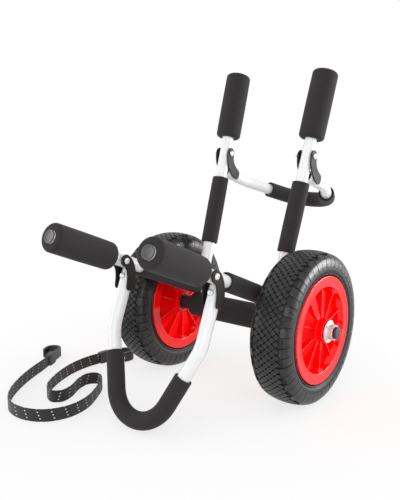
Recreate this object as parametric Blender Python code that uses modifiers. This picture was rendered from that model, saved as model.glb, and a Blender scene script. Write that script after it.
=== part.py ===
"""Paddleboard cart: two foam-padded side frames on one axle, two wheels, a front kickstand and a rear bar.

Frame of the model: +X runs along the axle, -Y is the front, where the short arms point, +Z is up.
The floor is z = 0. Run with: blender --background --python part.py
"""

import math

import bmesh
import bpy
from mathutils import Matrix, Vector

# Clearances
FIT = 0.0003            # between pieces that touch
HOLE_FIT = 0.0003       # added to the radius of every hole round its pin

# Facets round a turned shape
TUBE_STEPS = 16
SMALL_STEPS = 12
HOLE_STEPS = 8
WHEEL_STEPS = 24

# Tube, foam and axle sections
TUBE_DIA = 0.025
TUBE_WALL = 0.0017
SLEEVE_DIA = 0.036
GRIP_DIA = 0.054
GRIP_END_ROUND = 0.0075
AXLE_DIA = 0.025
AXLE_FOAM_DIA = 0.053
AXLE_FOAM_HALF = 0.105

# Wheels
WHEEL_DIA = 0.306
WHEEL_TRACK = 0.3475    # between the two wheels' centre planes
TYRE_WIDTH = 0.083
TREAD_WIDTH = 0.070
TREAD_DEPTH = 0.0035
TREAD_PITCHES = 16
TREAD_ROWS = 4
LUG_WALL = 0.0011       # how far a lug's flank spreads
SHOULDER_DROP = 0.007   # how much lower the tread's edge is than its middle
RIM_LIP_DIA = 0.2150
RIM_SEAT_DIA = 0.1990
RIM_WALL = 0.0045
RIM_HALF = 0.0405       # from the wheel's centre plane to the face of its lip
LIP_WIDTH = 0.0034
LIP_INNER_DIA = 0.2000
DISH_DIA = 0.1714       # where the sloping dish ends and the pockets between the ribs begin
DISH_DROP = 0.0008      # from the lip's crest to the dish's inner edge
RIB_DROP = 0.0062       # from the lip's crest to the ribs' level tops
POCKET_DEPTH = 0.0110   # from the ribs' front edges to the web, at its deepest
POCKET_DEPTH_AT_HUB = 0.0010
WEB_THICKNESS = 0.0040
HUB_DIA = 0.046
HUB_INNER_HALF = 0.0395
HUB_OUTER_HALF = 0.0480
RIB_COUNT = 10
RIB_THICKNESS = 0.0022
BUSH_DIA = 0.031
BUSH_LENGTH = 0.022
BUSH_FLANGE_DIA = 0.037
BUSH_FLANGE = 0.0015
SPACER_DIA = 0.030
COLLAR_FLANGE_DIA = 0.044
COLLAR_FLANGE = 0.0020
COLLAR_DIA = 0.030
COLLAR_LENGTH = 0.0120
COLLAR_HOLES = 4
COLLAR_HOLE_DIA = 0.0038
PLUG_HEAD = 0.0066
PLUG_DIA = 0.0240
PLUG_STEM_DIA = 0.019
PLUG_STEM = 0.012

# Side frames: the arm lies on the axle foam, and the upright stands on the arm
FRAME_HALF = 0.0955     # from the middle plane to the foot of each frame
ARM_RISE = math.radians(21.8)
ARM_SPLAY = math.radians(2.5)
ARM_LENGTH = 0.4350     # from the upright's axis to the tube's front end
ARM_TAIL = 0.028        # behind the upright's axis
ARM_BOLT = 0.2610       # from the upright's axis to the kickstand's pivot
ARM_SLEEVE_END = 0.2040
ARM_GRIP_START = 0.2890
FOOT_AHEAD = 0.0047     # the upright's axis lies this far in front of the axle, along the arm
UPRIGHT_LEAN = math.radians(18.6)
UPRIGHT_SPLAY = math.radians(1.75)
UPRIGHT_LENGTH = 0.4800
UPRIGHT_BOLT = 0.3075
UPRIGHT_SLEEVE_START = 0.1010
UPRIGHT_SLEEVE_END = 0.2500
UPRIGHT_GRIP_START = 0.3440
GRIP_TOP_THICKNESS = 0.011
CAP_DIA = 0.0252
CAP_THICKNESS = 0.003
CAP_STEM = 0.016
CAP_DISH = 0.0008
TAIL_PLUG_HEAD = 0.0022
TAIL_PLUG_EDGE = 0.0010
FRAME_BOLT_DIA = 0.008
FRAME_BOLT_BITE = 0.010  # how far the bolt reaches into the arm
FRAME_BOLT_HEAD_DIA = 0.014
FRAME_BOLT_HEAD = 0.0055

# Folding bars
PIVOT_BOLT_DIA = 0.006
BOLT_HEAD_DIA = 0.0125
BOLT_HEAD = 0.0040
NUT_WIDTH = 0.0105
NUT_HEIGHT = 0.0050
# The middle of the plates' lower ends, as (from the pivot along the tube, away from the tube's axis)
STAND_LOBE = Vector((0.0305, 0.0405))
REAR_LOBE = Vector((0.0385, 0.0365))
BRACKET_GAP = 0.0016     # between the tube and each plate, which a pressed boss bridges
PLATE_THICKNESS = 0.003
PLATE_BOSS_DIA = 0.0125
BOSS_RADIUS = 0.0122
WAIST_RADIUS = 0.0098
LOBE_RADIUS = 0.0118
BRACKET_PIN_DIA = 0.008
U_RADIUS = 0.067
U_TAPER = math.radians(22.0)
U_BEND = 0.090
# From the floor to the kickstand's centreline. The foam's facets are flatter than its circle
FOOT_HEIGHT = 0.0169
LEG_BORE = 0.100         # how far each leg is bored out from its end
FRONT_FOAM_REACH = 0.102
REAR_REACH = 0.2475      # from the upright's axis to the end of the rear bar, on its centreline
REAR_FOAM_REACH = 0.080
SCREW_HEAD_DIA = 0.0125
SCREW_HEAD = 0.0042
SCREW_DIA = 0.005
SCREW_DEPTH = 0.007
SCREW_FROM_END = 0.0145

# Tie-down strap with its two hooks, lying on the floor beside the cart
STRAP_WIDTH = 0.025
STRAP_THICKNESS = 0.0026
STRAP_CENTRE = (-0.275, -0.205)
STRAP_TURN = math.radians(210.0)
STRAP_ROUTE = (
    (-0.040, -0.112), (-0.022, -0.088), (-0.004, -0.052), (0.008, -0.008), (0.013, 0.040),
    (0.010, 0.084), (-0.008, 0.112), (-0.030, 0.108), (-0.040, 0.080), (-0.042, 0.044),
    (-0.052, 0.014), (-0.073, 0.008), (-0.088, 0.030), (-0.092, 0.076), (-0.088, 0.132),
    (-0.066, 0.178), (-0.026, 0.202), (0.020, 0.196), (0.056, 0.166), (0.074, 0.118),
    (0.080, 0.060), (0.078, 0.000), (0.072, -0.050), (0.070, -0.078),
)
HOOK_WIDTH = 0.022
HOOK_THICKNESS = 0.0065
HOOK_SHANK = 0.036
HOOK_RADIUS = 0.016
HOOK_TIP = 0.014
HOOK_BLOCK = (0.015, 0.028, 0.026)

# Worked out from the sizes above
TUBE_R = TUBE_DIA / 2
TUBE_BORE = TUBE_R - TUBE_WALL
CAP_STEM_DIA = 2 * (TUBE_BORE - HOLE_FIT)
AXLE_R = AXLE_DIA / 2
WHEEL_R = WHEEL_DIA / 2
LUG_HALF_ANGLE = math.pi / TREAD_PITCHES / 2 - LUG_WALL / (WHEEL_DIA / 2)
# The wheel stands on the flat face of a lug
AXLE_Z = WHEEL_R * math.cos(LUG_HALF_ANGLE)
FOAM_BORE = TUBE_R + HOLE_FIT
ARM_UP = Vector((0, math.sin(ARM_RISE), math.cos(ARM_RISE)))
ARM_REST = AXLE_FOAM_DIA / 2 + FIT + TUBE_R
PLATE_PITCH = TUBE_R + BRACKET_GAP + PLATE_THICKNESS / 2
LEG_END = TUBE_R + FIT

# Stations along the axle, from the foam outwards
SPACER_START = AXLE_FOAM_HALF + FIT
HUB_START = WHEEL_TRACK / 2 - HUB_INNER_HALF
HUB_END = WHEEL_TRACK / 2 + HUB_OUTER_HALF
SPACER_END = HUB_START - 2 * FIT - BUSH_FLANGE
COLLAR_START = HUB_END + 2 * FIT + BUSH_FLANGE
COLLAR_END = COLLAR_START + COLLAR_FLANGE + COLLAR_LENGTH
AXLE_END = COLLAR_END - FIT


def arm_direction(side):
    """Unit vector along an arm, towards its front end."""
    level = math.cos(ARM_SPLAY)
    return Vector((side * math.sin(ARM_SPLAY), -level * math.cos(ARM_RISE), level * math.sin(ARM_RISE)))


def upright_direction(side):
    """Unit vector along an upright, towards its top."""
    level = math.cos(UPRIGHT_SPLAY)
    aside = side * math.sin(UPRIGHT_SPLAY)
    return Vector((aside, level * math.sin(UPRIGHT_LEAN), level * math.cos(UPRIGHT_LEAN)))


# The axle's place along Y puts the origin under the middle of the whole cart
ARM_FORE = Vector((0, -math.cos(ARM_RISE), math.sin(ARM_RISE)))
CORNER_FROM_AXLE = ARM_UP * ARM_REST + ARM_FORE * FOOT_AHEAD
TIP = CORNER_FROM_AXLE + arm_direction(1) * (ARM_LENGTH + CAP_THICKNESS)
GRIP_NOSE = TIP - ARM_UP * (GRIP_DIA / 2 - GRIP_END_ROUND)
PIVOT_TO_REAR = Vector((0, math.cos(UPRIGHT_LEAN), -math.sin(UPRIGHT_LEAN)))
REAR_PIVOT_FROM_AXLE = CORNER_FROM_AXLE + upright_direction(1) * UPRIGHT_BOLT
DOWN_UPRIGHT = Vector((0, -math.sin(UPRIGHT_LEAN), -math.cos(UPRIGHT_LEAN)))
REAR_END = REAR_PIVOT_FROM_AXLE + DOWN_UPRIGHT * REAR_LOBE.x + PIVOT_TO_REAR * REAR_REACH
FRONT_EXTENT = min(TIP.y, GRIP_NOSE.y)
REAR_EXTENT = REAR_END.y + SLEEVE_DIA / 2
AXLE_Y = -(FRONT_EXTENT + REAR_EXTENT) / 2
AXLE_CENTRE = Vector((0, AXLE_Y, AXLE_Z))


def corner(side):
    """Where an upright's axis meets its arm's axis."""
    return Vector((side * FRAME_HALF, 0, 0)) + AXLE_CENTRE + CORNER_FROM_AXLE


def arm_point(side, distance):
    """A point on an arm's axis, at a distance in front of the upright."""
    return corner(side) + arm_direction(side) * distance


def upright_point(side, distance):
    """A point on an upright's axis, at a distance above the arm."""
    return corner(side) + upright_direction(side) * distance


SIDES = (("left", -1), ("right", 1))
FRONT_PIVOT = arm_point(1, ARM_BOLT)
REAR_PIVOT = upright_point(1, UPRIGHT_BOLT)
# The kickstand is as long as its foam needs to meet the floor
STAND_DOWN = -ARM_UP
STAND_LEG_Z = FRONT_PIVOT.z - STAND_LOBE.x * math.sin(ARM_RISE)
FRONT_REACH = (STAND_LEG_Z - FOOT_HEIGHT) / math.cos(ARM_RISE)


def clear_scene():
    for obj in list(bpy.data.objects):
        bpy.data.objects.remove(obj)
    for collection in list(bpy.data.collections):
        bpy.data.collections.remove(collection)


def new_collection(name):
    collection = bpy.data.collections.new(name)
    bpy.context.scene.collection.children.link(collection)
    return collection


clear_scene()
CART = new_collection("paddleboard_cart")
CUTTERS = new_collection("cutters")

FINISHES = {
    "white_paint": ((0.86, 0.86, 0.88), 0.30, 0.0),
    "black_foam": ((0.022, 0.020, 0.022), 0.90, 0.0),
    "tyre_rubber": ((0.020, 0.020, 0.021), 0.75, 0.0),
    "red_plastic": ((0.80, 0.004, 0.006), 0.28, 0.0),
    "black_paint": ((0.012, 0.011, 0.011), 0.40, 0.0),
    "black_plastic": ((0.020, 0.020, 0.022), 0.45, 0.0),
    "grey_plastic": ((0.12, 0.12, 0.125), 0.50, 0.0),
    "zinc": ((0.62, 0.62, 0.64), 0.28, 1.0),
    "black_webbing": ((0.018, 0.017, 0.018), 0.85, 0.0),
}


def material(finish):
    existing = bpy.data.materials.get(finish)
    if existing:
        return existing
    colour, roughness, metallic = FINISHES[finish]
    made = bpy.data.materials.new(finish)
    made.use_nodes = True
    shader = made.node_tree.nodes["Principled BSDF"]
    shader.inputs["Base Color"].default_value = (*colour, 1)
    shader.inputs["Roughness"].default_value = roughness
    shader.inputs["Metallic"].default_value = metallic
    return made


def aligned(origin, direction, roll_to=Vector((1, 0, 0))):
    """A matrix that puts local Z along the direction, with local X near roll_to."""
    z_axis = Vector(direction).normalized()
    x_axis = roll_to - z_axis * roll_to.dot(z_axis)
    if x_axis.length < 0.01:
        x_axis = z_axis.orthogonal()
    x_axis.normalize()
    y_axis = z_axis.cross(x_axis)
    turn = Matrix((x_axis, y_axis, z_axis)).transposed().to_4x4()
    return Matrix.Translation(origin) @ turn


ALONG_X = Vector((1, 0, 0))
TO_X = Matrix(((0, 0, 1, 0), (1, 0, 0, 0), (0, 1, 0, 0), (0, 0, 0, 1)))


def on_axle(x):
    """Local Z along +X, with its origin on the axle's axis."""
    return Matrix.Translation(AXLE_CENTRE + ALONG_X * x) @ TO_X


def add_object(name, data, place, finish=None):
    obj = bpy.data.objects.new(name, data)
    if finish:
        CART.objects.link(obj)
        data.materials.append(material(finish))
    else:
        CUTTERS.objects.link(obj)
        obj.hide_render = True
        obj.display_type = "WIRE"
    obj.matrix_world = place
    return obj


def smooth(obj, angle=35):
    obj.data.shade_smooth()
    obj.data.set_sharp_from_angle(angle=math.radians(angle))
    return obj


def turned(name, profile, place, finish=None, steps=TUBE_STEPS):
    """Turns a profile of (radius, height) round local Z. It runs down the outer side, top to bottom."""
    closed = profile[0][0] > 0
    mesh = bpy.data.meshes.new(name)
    points = [(radius, 0, height) for radius, height in profile]
    count = len(points)
    edges = [(i, i + 1) for i in range(count - 1)]
    if closed:
        edges.append((count - 1, 0))
    mesh.from_pydata(points, edges, [])
    obj = add_object(name, mesh, place, finish)
    screw = obj.modifiers.new("turn", "SCREW")
    screw.axis = "Z"
    screw.steps = steps
    screw.render_steps = steps
    screw.use_merge_vertices = True
    screw.merge_threshold = 0.00001
    screw.use_smooth_shade = False
    return obj


def rod_profile(radius, length, start=0.0):
    return [(0, start + length), (radius, start + length), (radius, start), (0, start)]


def ring_profile(outer, inner, length, start=0.0):
    return [(outer, start + length), (outer, start), (inner, start), (inner, start + length)]


def arc(centre_r, centre_z, radius, start, end, count):
    """Points of an arc in the profile plane, angles in degrees from +radius towards +height."""
    points = []
    for i in range(count + 1):
        angle = math.radians(start + (end - start) * i / count)
        points.append((centre_r + radius * math.cos(angle), centre_z + radius * math.sin(angle)))
    return points


def as_mesh(obj):
    """Replaces a curve or a modified object by its evaluated mesh, with its caps welded."""
    depsgraph = bpy.context.evaluated_depsgraph_get()
    mesh = bpy.data.meshes.new_from_object(obj.evaluated_get(depsgraph))
    work = bmesh.new()
    work.from_mesh(mesh)
    bmesh.ops.remove_doubles(work, verts=work.verts, dist=0.00001)
    bmesh.ops.recalc_face_normals(work, faces=work.faces)
    work.to_mesh(mesh)
    work.free()
    mesh.name = obj.name
    made = bpy.data.objects.new(obj.name, mesh)
    for collection in obj.users_collection:
        collection.objects.link(made)
    made.matrix_world = obj.matrix_world.copy()
    made.hide_render = obj.hide_render
    made.display_type = obj.display_type
    name = obj.name
    bpy.data.objects.remove(obj)
    made.name = name
    return made


def combine(target, others, operation):
    for other in others:
        modifier = target.modifiers.new(other.name, "BOOLEAN")
        modifier.operation = operation
        modifier.solver = "EXACT"
        modifier.object = other
    return target


def cut(target, *cutters):
    return combine(target, cutters, "DIFFERENCE")


def join(target, *others):
    return combine(target, others, "UNION")


def rod_cutter(name, radius, start, end, steps=HOLE_STEPS):
    start = Vector(start)
    return turned(name, rod_profile(radius, (Vector(end) - start).length),
                  aligned(start, Vector(end) - start), steps=steps)


def bar(name, points, radius, finish=None, sides=2):
    """A round bar along a list of points, with flat filled ends."""
    curve = bpy.data.curves.new(name, "CURVE")
    curve.dimensions = "3D"
    curve.bevel_depth = radius
    curve.bevel_resolution = sides
    curve.use_fill_caps = True
    spline = curve.splines.new("POLY")
    spline.points.add(len(points) - 1)
    for spot, point in zip(spline.points, points):
        spot.co = (*point, 1)
    return as_mesh(add_object(name, curve, Matrix(), finish))


def outline_plate(name, outlines, thickness, place, finish=None):
    """A flat plate: the first outline is its edge, the others are holes."""
    curve = bpy.data.curves.new(name, "CURVE")
    curve.dimensions = "2D"
    curve.fill_mode = "BOTH"
    curve.extrude = thickness / 2
    for outline in outlines:
        spline = curve.splines.new("POLY")
        spline.points.add(len(outline) - 1)
        spline.use_cyclic_u = True
        for spot, (x, y) in zip(spline.points, outline):
            spot.co = (x, y, 0, 1)
    return as_mesh(add_object(name, curve, place, finish))


def ribbon(name, points, height, thickness, place, finish=None):
    """A band that stands on edge along a flat route."""
    curve = bpy.data.curves.new(name, "CURVE")
    curve.dimensions = "2D"
    curve.fill_mode = "NONE"
    curve.extrude = height / 2
    spline = curve.splines.new("POLY")
    spline.points.add(len(points) - 1)
    for spot, (x, y) in zip(spline.points, points):
        spot.co = (x, y, 0, 1)
    sheet = as_mesh(add_object(name, curve, place, finish))
    wall = sheet.modifiers.new("wall", "SOLIDIFY")
    wall.thickness = thickness
    wall.offset = 0
    wall.use_even_offset = True
    return sheet


def hex_points(width):
    radius = width / 2 / math.cos(math.pi / 6)
    return [(radius * math.cos(math.pi / 3 * i), radius * math.sin(math.pi / 3 * i)) for i in range(6)]


def circle_points(radius, count=HOLE_STEPS, centre=(0, 0)):
    step = 2 * math.pi / count
    return [(centre[0] + radius * math.cos(step * i), centre[1] + radius * math.sin(step * i))
            for i in range(count)]


# Side frames

def frame_bolt_line(side):
    """The bolt's axis: through the axle's middle, square to the arm."""
    base = AXLE_CENTRE + ALONG_X * side * FRAME_HALF
    return base, ARM_UP


def make_frame(label, side):
    """Arm and upright of white tube, welded where the upright stands on the arm."""
    arm = turned(f"frame_{label}", rod_profile(TUBE_R, ARM_LENGTH + ARM_TAIL),
                 aligned(arm_point(side, -ARM_TAIL), arm_direction(side)), "white_paint")
    arm = as_mesh(arm)
    post = turned(f"upright_{label}_tool", rod_profile(TUBE_R, UPRIGHT_LENGTH),
                  aligned(corner(side), upright_direction(side)))
    join(arm, as_mesh(post))
    front_bolt = arm_point(side, ARM_BOLT)
    rear_bolt = upright_point(side, UPRIGHT_BOLT)
    base, up = frame_bolt_line(side)
    hole = PIVOT_BOLT_DIA / 2 + HOLE_FIT
    reach = ALONG_X * TUBE_DIA
    cut(arm,
        rod_cutter(f"arm_bore_{label}", TUBE_BORE, arm_point(side, -ARM_TAIL - TUBE_R),
                   arm_point(side, ARM_LENGTH + TUBE_R), TUBE_STEPS),
        rod_cutter(f"upright_bore_{label}", TUBE_BORE, upright_point(side, TUBE_R),
                   upright_point(side, UPRIGHT_LENGTH + TUBE_R), TUBE_STEPS),
        rod_cutter(f"front_bolt_hole_{label}", hole, front_bolt - reach, front_bolt + reach),
        rod_cutter(f"rear_bolt_hole_{label}", hole, rear_bolt - reach, rear_bolt + reach),
        rod_cutter(f"frame_bolt_hole_{label}", FRAME_BOLT_DIA / 2 + HOLE_FIT, base, base + up * ARM_REST,
                   SMALL_STEPS))
    return smooth(as_mesh(arm))


def make_cap(name, origin, direction, stem, finish):
    """A pressed-in tube cap: a slightly dished disc on a stem."""
    disc = CAP_DIA / 2
    profile = [(0, CAP_THICKNESS - CAP_DISH), (disc * 0.72, CAP_THICKNESS - CAP_DISH),
               (disc * 0.80, CAP_THICKNESS),
               (disc - CAP_DISH, CAP_THICKNESS), (disc, CAP_THICKNESS - CAP_DISH), (disc, FIT),
               (CAP_STEM_DIA / 2, FIT), (CAP_STEM_DIA / 2, -stem), (0, -stem)]
    return smooth(as_mesh(turned(name, profile, aligned(origin, direction), finish)))


def make_grip(name, start, direction, length, blind=0.0):
    """A thick foam grip with rounded ends. blind is the foam over the tube's end, 0 for an open end."""
    radius = GRIP_DIA / 2
    edge = radius - GRIP_END_ROUND
    top = arc(edge, length - GRIP_END_ROUND, GRIP_END_ROUND, 90, 0, 3)
    foot = arc(edge, GRIP_END_ROUND, GRIP_END_ROUND, 0, -90, 3)
    if blind:
        profile = [(0, length), *top, *foot, (FOAM_BORE, 0), (FOAM_BORE, length - blind), (0, length - blind)]
    else:
        profile = [*top, *foot, (FOAM_BORE, 0), (FOAM_BORE, length)]
    return smooth(as_mesh(turned(name, profile, aligned(start, direction), "black_foam")))


def make_sleeve(name, start, direction, length):
    """A thin foam sleeve on a tube."""
    profile = ring_profile(SLEEVE_DIA / 2, FOAM_BORE, length)
    return smooth(as_mesh(turned(name, profile, aligned(start, direction), "black_foam")))


def make_side(label, side):
    make_frame(label, side)
    arm = arm_direction(side)
    post = upright_direction(side)
    make_cap(f"arm_cap_{label}", arm_point(side, ARM_LENGTH), arm, CAP_STEM, "grey_plastic")
    tail_stem = CAP_STEM / 2
    tail = [(0, TAIL_PLUG_HEAD), (TUBE_R - TAIL_PLUG_EDGE, TAIL_PLUG_HEAD),
            (TUBE_R, TAIL_PLUG_HEAD - TAIL_PLUG_EDGE), (TUBE_R, FIT),
            (CAP_STEM_DIA / 2, FIT), (CAP_STEM_DIA / 2, -tail_stem), (0, -tail_stem)]
    tail_place = aligned(arm_point(side, -ARM_TAIL), -arm)
    smooth(as_mesh(turned(f"tail_plug_{label}", tail, tail_place, "black_plastic")))
    make_grip(f"arm_grip_{label}", arm_point(side, ARM_GRIP_START), arm, ARM_LENGTH - ARM_GRIP_START)
    grip_length = UPRIGHT_LENGTH + FIT + GRIP_TOP_THICKNESS - UPRIGHT_GRIP_START
    make_grip(f"top_grip_{label}", upright_point(side, UPRIGHT_GRIP_START), post, grip_length,
              GRIP_TOP_THICKNESS)
    # The arm's sleeve runs up to the foot of the upright, which leans over it a little
    tilt = ARM_RISE - UPRIGHT_LEAN
    foot = TUBE_R / math.cos(tilt) + SLEEVE_DIA / 2 * math.tan(tilt) + 2 * FIT
    make_sleeve(f"arm_sleeve_{label}", arm_point(side, foot), arm, ARM_SLEEVE_END - foot)
    make_sleeve(f"upright_sleeve_{label}", upright_point(side, UPRIGHT_SLEEVE_START), post,
                UPRIGHT_SLEEVE_END - UPRIGHT_SLEEVE_START)
    base, up = frame_bolt_line(side)
    head_top = -AXLE_R - FIT
    head = FRAME_BOLT_HEAD_DIA / 2
    bolt_top = ARM_REST - TUBE_R + FRAME_BOLT_BITE
    bolt = [(0, bolt_top), (FRAME_BOLT_DIA / 2, bolt_top),
            (FRAME_BOLT_DIA / 2, head_top), (head, head_top), (head, head_top - FRAME_BOLT_HEAD * 0.7),
            (head * 0.8, head_top - FRAME_BOLT_HEAD), (0, head_top - FRAME_BOLT_HEAD)]
    smooth(as_mesh(turned(f"frame_bolt_{label}", bolt, aligned(base, up), "zinc", SMALL_STEPS)))


# Axle

def make_axle():
    axle = turned("axle", rod_profile(AXLE_R, 2 * AXLE_END, -AXLE_END), on_axle(0), "zinc")
    axle = as_mesh(axle)
    foam = as_mesh(turned("axle_foam", ring_profile(AXLE_FOAM_DIA / 2, AXLE_R + HOLE_FIT, 2 * AXLE_FOAM_HALF,
                                                    -AXLE_FOAM_HALF), on_axle(0), "black_foam"))
    for label, side in SIDES:
        base, up = frame_bolt_line(side)
        hole = FRAME_BOLT_DIA / 2 + HOLE_FIT
        reach = up * AXLE_FOAM_DIA
        cut(axle,
            rod_cutter(f"axle_bolt_hole_{label}", hole, base - reach, base + reach, SMALL_STEPS),
            rod_cutter(f"axle_plug_socket_{label}", PLUG_STEM_DIA / 2 + HOLE_FIT,
                       AXLE_CENTRE + ALONG_X * side * (AXLE_END - PLUG_STEM - FIT),
                       AXLE_CENTRE + ALONG_X * side * (AXLE_END + AXLE_R), TUBE_STEPS))
        cut(foam,
            rod_cutter(f"foam_bolt_hole_{label}", hole, base, base + reach, SMALL_STEPS),
            rod_cutter(f"foam_head_hole_{label}", FRAME_BOLT_HEAD_DIA / 2 + 4 * FIT, base, base - reach,
                       SMALL_STEPS))
    smooth(as_mesh(axle))
    smooth(as_mesh(foam))


# Wheels

def make_tyre(label, side):
    """A fat tyre with staggered lugs across its crown, closed round the rim's seat."""
    half = TYRE_WIDTH / 2
    # The tyre's inner facets are flat, so they keep clear of the rim at their middles
    facet = 1 / math.cos(math.pi / TREAD_PITCHES / 2)
    seat_r = RIM_SEAT_DIA / 2 * facet + FIT
    seat_half = RIM_HALF - LIP_WIDTH - FIT
    lip_r = RIM_LIP_DIA / 2 * facet + FIT
    row_width = TREAD_WIDTH / TREAD_ROWS
    flank = [(seat_half, seat_r, None), (seat_half, lip_r, None), (half, lip_r + 0.012, None)]
    stations = [(-x, radius, row) for x, radius, row in flank]
    for row in range(TREAD_ROWS):
        low = -TREAD_WIDTH / 2 + row * row_width + LUG_WALL
        high = low + row_width - 2 * LUG_WALL
        for x in (low, high):
            # The two middle rows are flat across, and the shoulder rows slope down to the flanks
            beyond = max(0.0, abs(x) - row_width) / row_width
            stations.append((x, WHEEL_R - SHOULDER_DROP * beyond, row))
    stations.extend((-x, radius, row) for x, radius, row in reversed(stations[:len(flank)]))
    pitch = 2 * math.pi / TREAD_PITCHES
    gap = 2 * LUG_WALL / WHEEL_R
    angles = []
    for k in range(TREAD_PITCHES):
        start = k * pitch - math.pi / 2 - LUG_HALF_ANGLE
        angles.extend((start, start + pitch / 2 - gap, start + pitch / 2, start + pitch - gap))
    work = bmesh.new()
    sections = []
    for column, angle in enumerate(angles):
        raised = column % 4 // 2
        section = []
        for x, radius, row in stations:
            if row is not None and row % 2 == raised:
                radius -= TREAD_DEPTH
            section.append(work.verts.new((x, radius * math.cos(angle), radius * math.sin(angle))))
        sections.append(section)
    for here, there in zip(sections, sections[1:] + sections[:1]):
        for i in range(len(stations)):
            j = (i + 1) % len(stations)
            work.faces.new((here[i], there[i], there[j], here[j]))
    bmesh.ops.recalc_face_normals(work, faces=work.faces)
    mesh = bpy.data.meshes.new(f"tyre_{label}")
    work.to_mesh(mesh)
    work.free()
    place = Matrix.Translation(AXLE_CENTRE + ALONG_X * side * WHEEL_TRACK / 2)
    return smooth(add_object(f"tyre_{label}", mesh, place, "tyre_rubber"), 25)


def rim_half_profile(hub_half):
    """Half a rim from its lip to its joint at the wheel's centre plane, round the barrel, web and hub."""
    lip = RIM_LIP_DIA / 2
    seat = RIM_SEAT_DIA / 2
    inside = seat - RIM_WALL
    hub = HUB_DIA / 2
    bore = BUSH_DIA / 2 + HOLE_FIT
    dish = DISH_DIA / 2
    ribs = RIM_HALF - RIB_DROP
    joint = FIT / 2
    outside = [(lip, RIM_HALF), (lip, RIM_HALF - LIP_WIDTH), (seat, RIM_HALF - LIP_WIDTH), (seat, joint)]
    behind = [(inside, joint), (inside, ribs - 0.004), (dish + 0.002, ribs - POCKET_DEPTH - WEB_THICKNESS),
              (hub, ribs - POCKET_DEPTH_AT_HUB - WEB_THICKNESS), (hub, joint)]
    front = [(bore, joint), (bore, hub_half), (hub, hub_half), (hub, ribs - POCKET_DEPTH_AT_HUB),
             (dish - 0.002, ribs - POCKET_DEPTH), (dish, RIM_HALF - DISH_DROP), (LIP_INNER_DIA / 2, RIM_HALF)]
    return outside + behind + front


def make_rim_half(name, side, outward, hub_half):
    """A moulded half rim with thin ribs across its dished face."""
    facing = side if outward else -side
    centre = side * WHEEL_TRACK / 2
    place = aligned(AXLE_CENTRE + ALONG_X * centre, ALONG_X * facing, Vector((0, 0, 1)))
    rim = as_mesh(turned(name, rim_half_profile(hub_half), place, "red_plastic", WHEEL_STEPS))
    top = RIM_HALF - RIB_DROP
    inner = HUB_DIA / 2 - 0.002
    dish = DISH_DIA / 2
    outline = [(inner, top - 0.003), (inner, top), (dish + 0.001, top), (dish + 0.001, top - 0.003),
               (dish - 0.001, top - POCKET_DEPTH - WEB_THICKNESS / 2)]
    ribs = []
    for k in range(RIB_COUNT):
        round_axle = Matrix.Rotation(2 * math.pi * k / RIB_COUNT, 4, "Z")
        turn = round_axle @ Matrix.Rotation(math.pi / 2, 4, "X")
        ribs.append(outline_plate(f"{name}_rib_{k}", [outline], RIB_THICKNESS, place @ turn))
    join(rim, *ribs)
    return smooth(as_mesh(rim))


def make_bush(name, side, outward, hub_half):
    """A flanged bush pressed into one end of the hub."""
    bore = AXLE_DIA / 2 + HOLE_FIT
    profile = [(BUSH_FLANGE_DIA / 2, FIT + BUSH_FLANGE), (BUSH_FLANGE_DIA / 2, FIT), (BUSH_DIA / 2, FIT),
               (BUSH_DIA / 2, -BUSH_LENGTH), (bore, -BUSH_LENGTH), (bore, FIT + BUSH_FLANGE)]
    facing = side if outward else -side
    centre = side * WHEEL_TRACK / 2
    place = aligned(AXLE_CENTRE + ALONG_X * (centre + facing * hub_half), ALONG_X * facing, Vector((0, 0, 1)))
    return smooth(as_mesh(turned(name, profile, place, "black_plastic")))


def make_collar(label, side):
    """The zinc collar that keeps a wheel on: a drilled flange with a nose."""
    place = aligned(AXLE_CENTRE + ALONG_X * side * COLLAR_START, ALONG_X * side, Vector((0, 0, 1)))
    bore = AXLE_R + HOLE_FIT
    nose = COLLAR_DIA / 2
    flange = COLLAR_FLANGE_DIA / 2
    top = COLLAR_FLANGE + COLLAR_LENGTH
    profile = [(nose, top), (nose, COLLAR_FLANGE), (flange, COLLAR_FLANGE),
               (flange, 0), (bore, 0), (bore, top)]
    collar = as_mesh(turned(f"wheel_collar_{label}", profile, place, "zinc"))
    spread = (COLLAR_FLANGE_DIA + COLLAR_DIA) / 4
    for k in range(COLLAR_HOLES):
        angle = 2 * math.pi * (k + 0.5) / COLLAR_HOLES
        middle = place @ Vector((spread * math.cos(angle), spread * math.sin(angle), COLLAR_FLANGE / 2))
        reach = ALONG_X * COLLAR_FLANGE
        drill = rod_cutter(f"collar_hole_{label}_{k}", COLLAR_HOLE_DIA / 2, middle - reach, middle + reach, 6)
        cut(collar, drill)
    return smooth(as_mesh(collar))


def make_axle_plug(label, side):
    head = PLUG_DIA / 2
    profile = [(0, PLUG_HEAD), (head - 0.0015, PLUG_HEAD), (head, PLUG_HEAD - 0.0015), (head, FIT),
               (PLUG_STEM_DIA / 2, FIT), (PLUG_STEM_DIA / 2, -PLUG_STEM), (0, -PLUG_STEM)]
    place = aligned(AXLE_CENTRE + ALONG_X * side * AXLE_END, ALONG_X * side, Vector((0, 0, 1)))
    return smooth(as_mesh(turned(f"axle_plug_{label}", profile, place, "black_plastic")))


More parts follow.
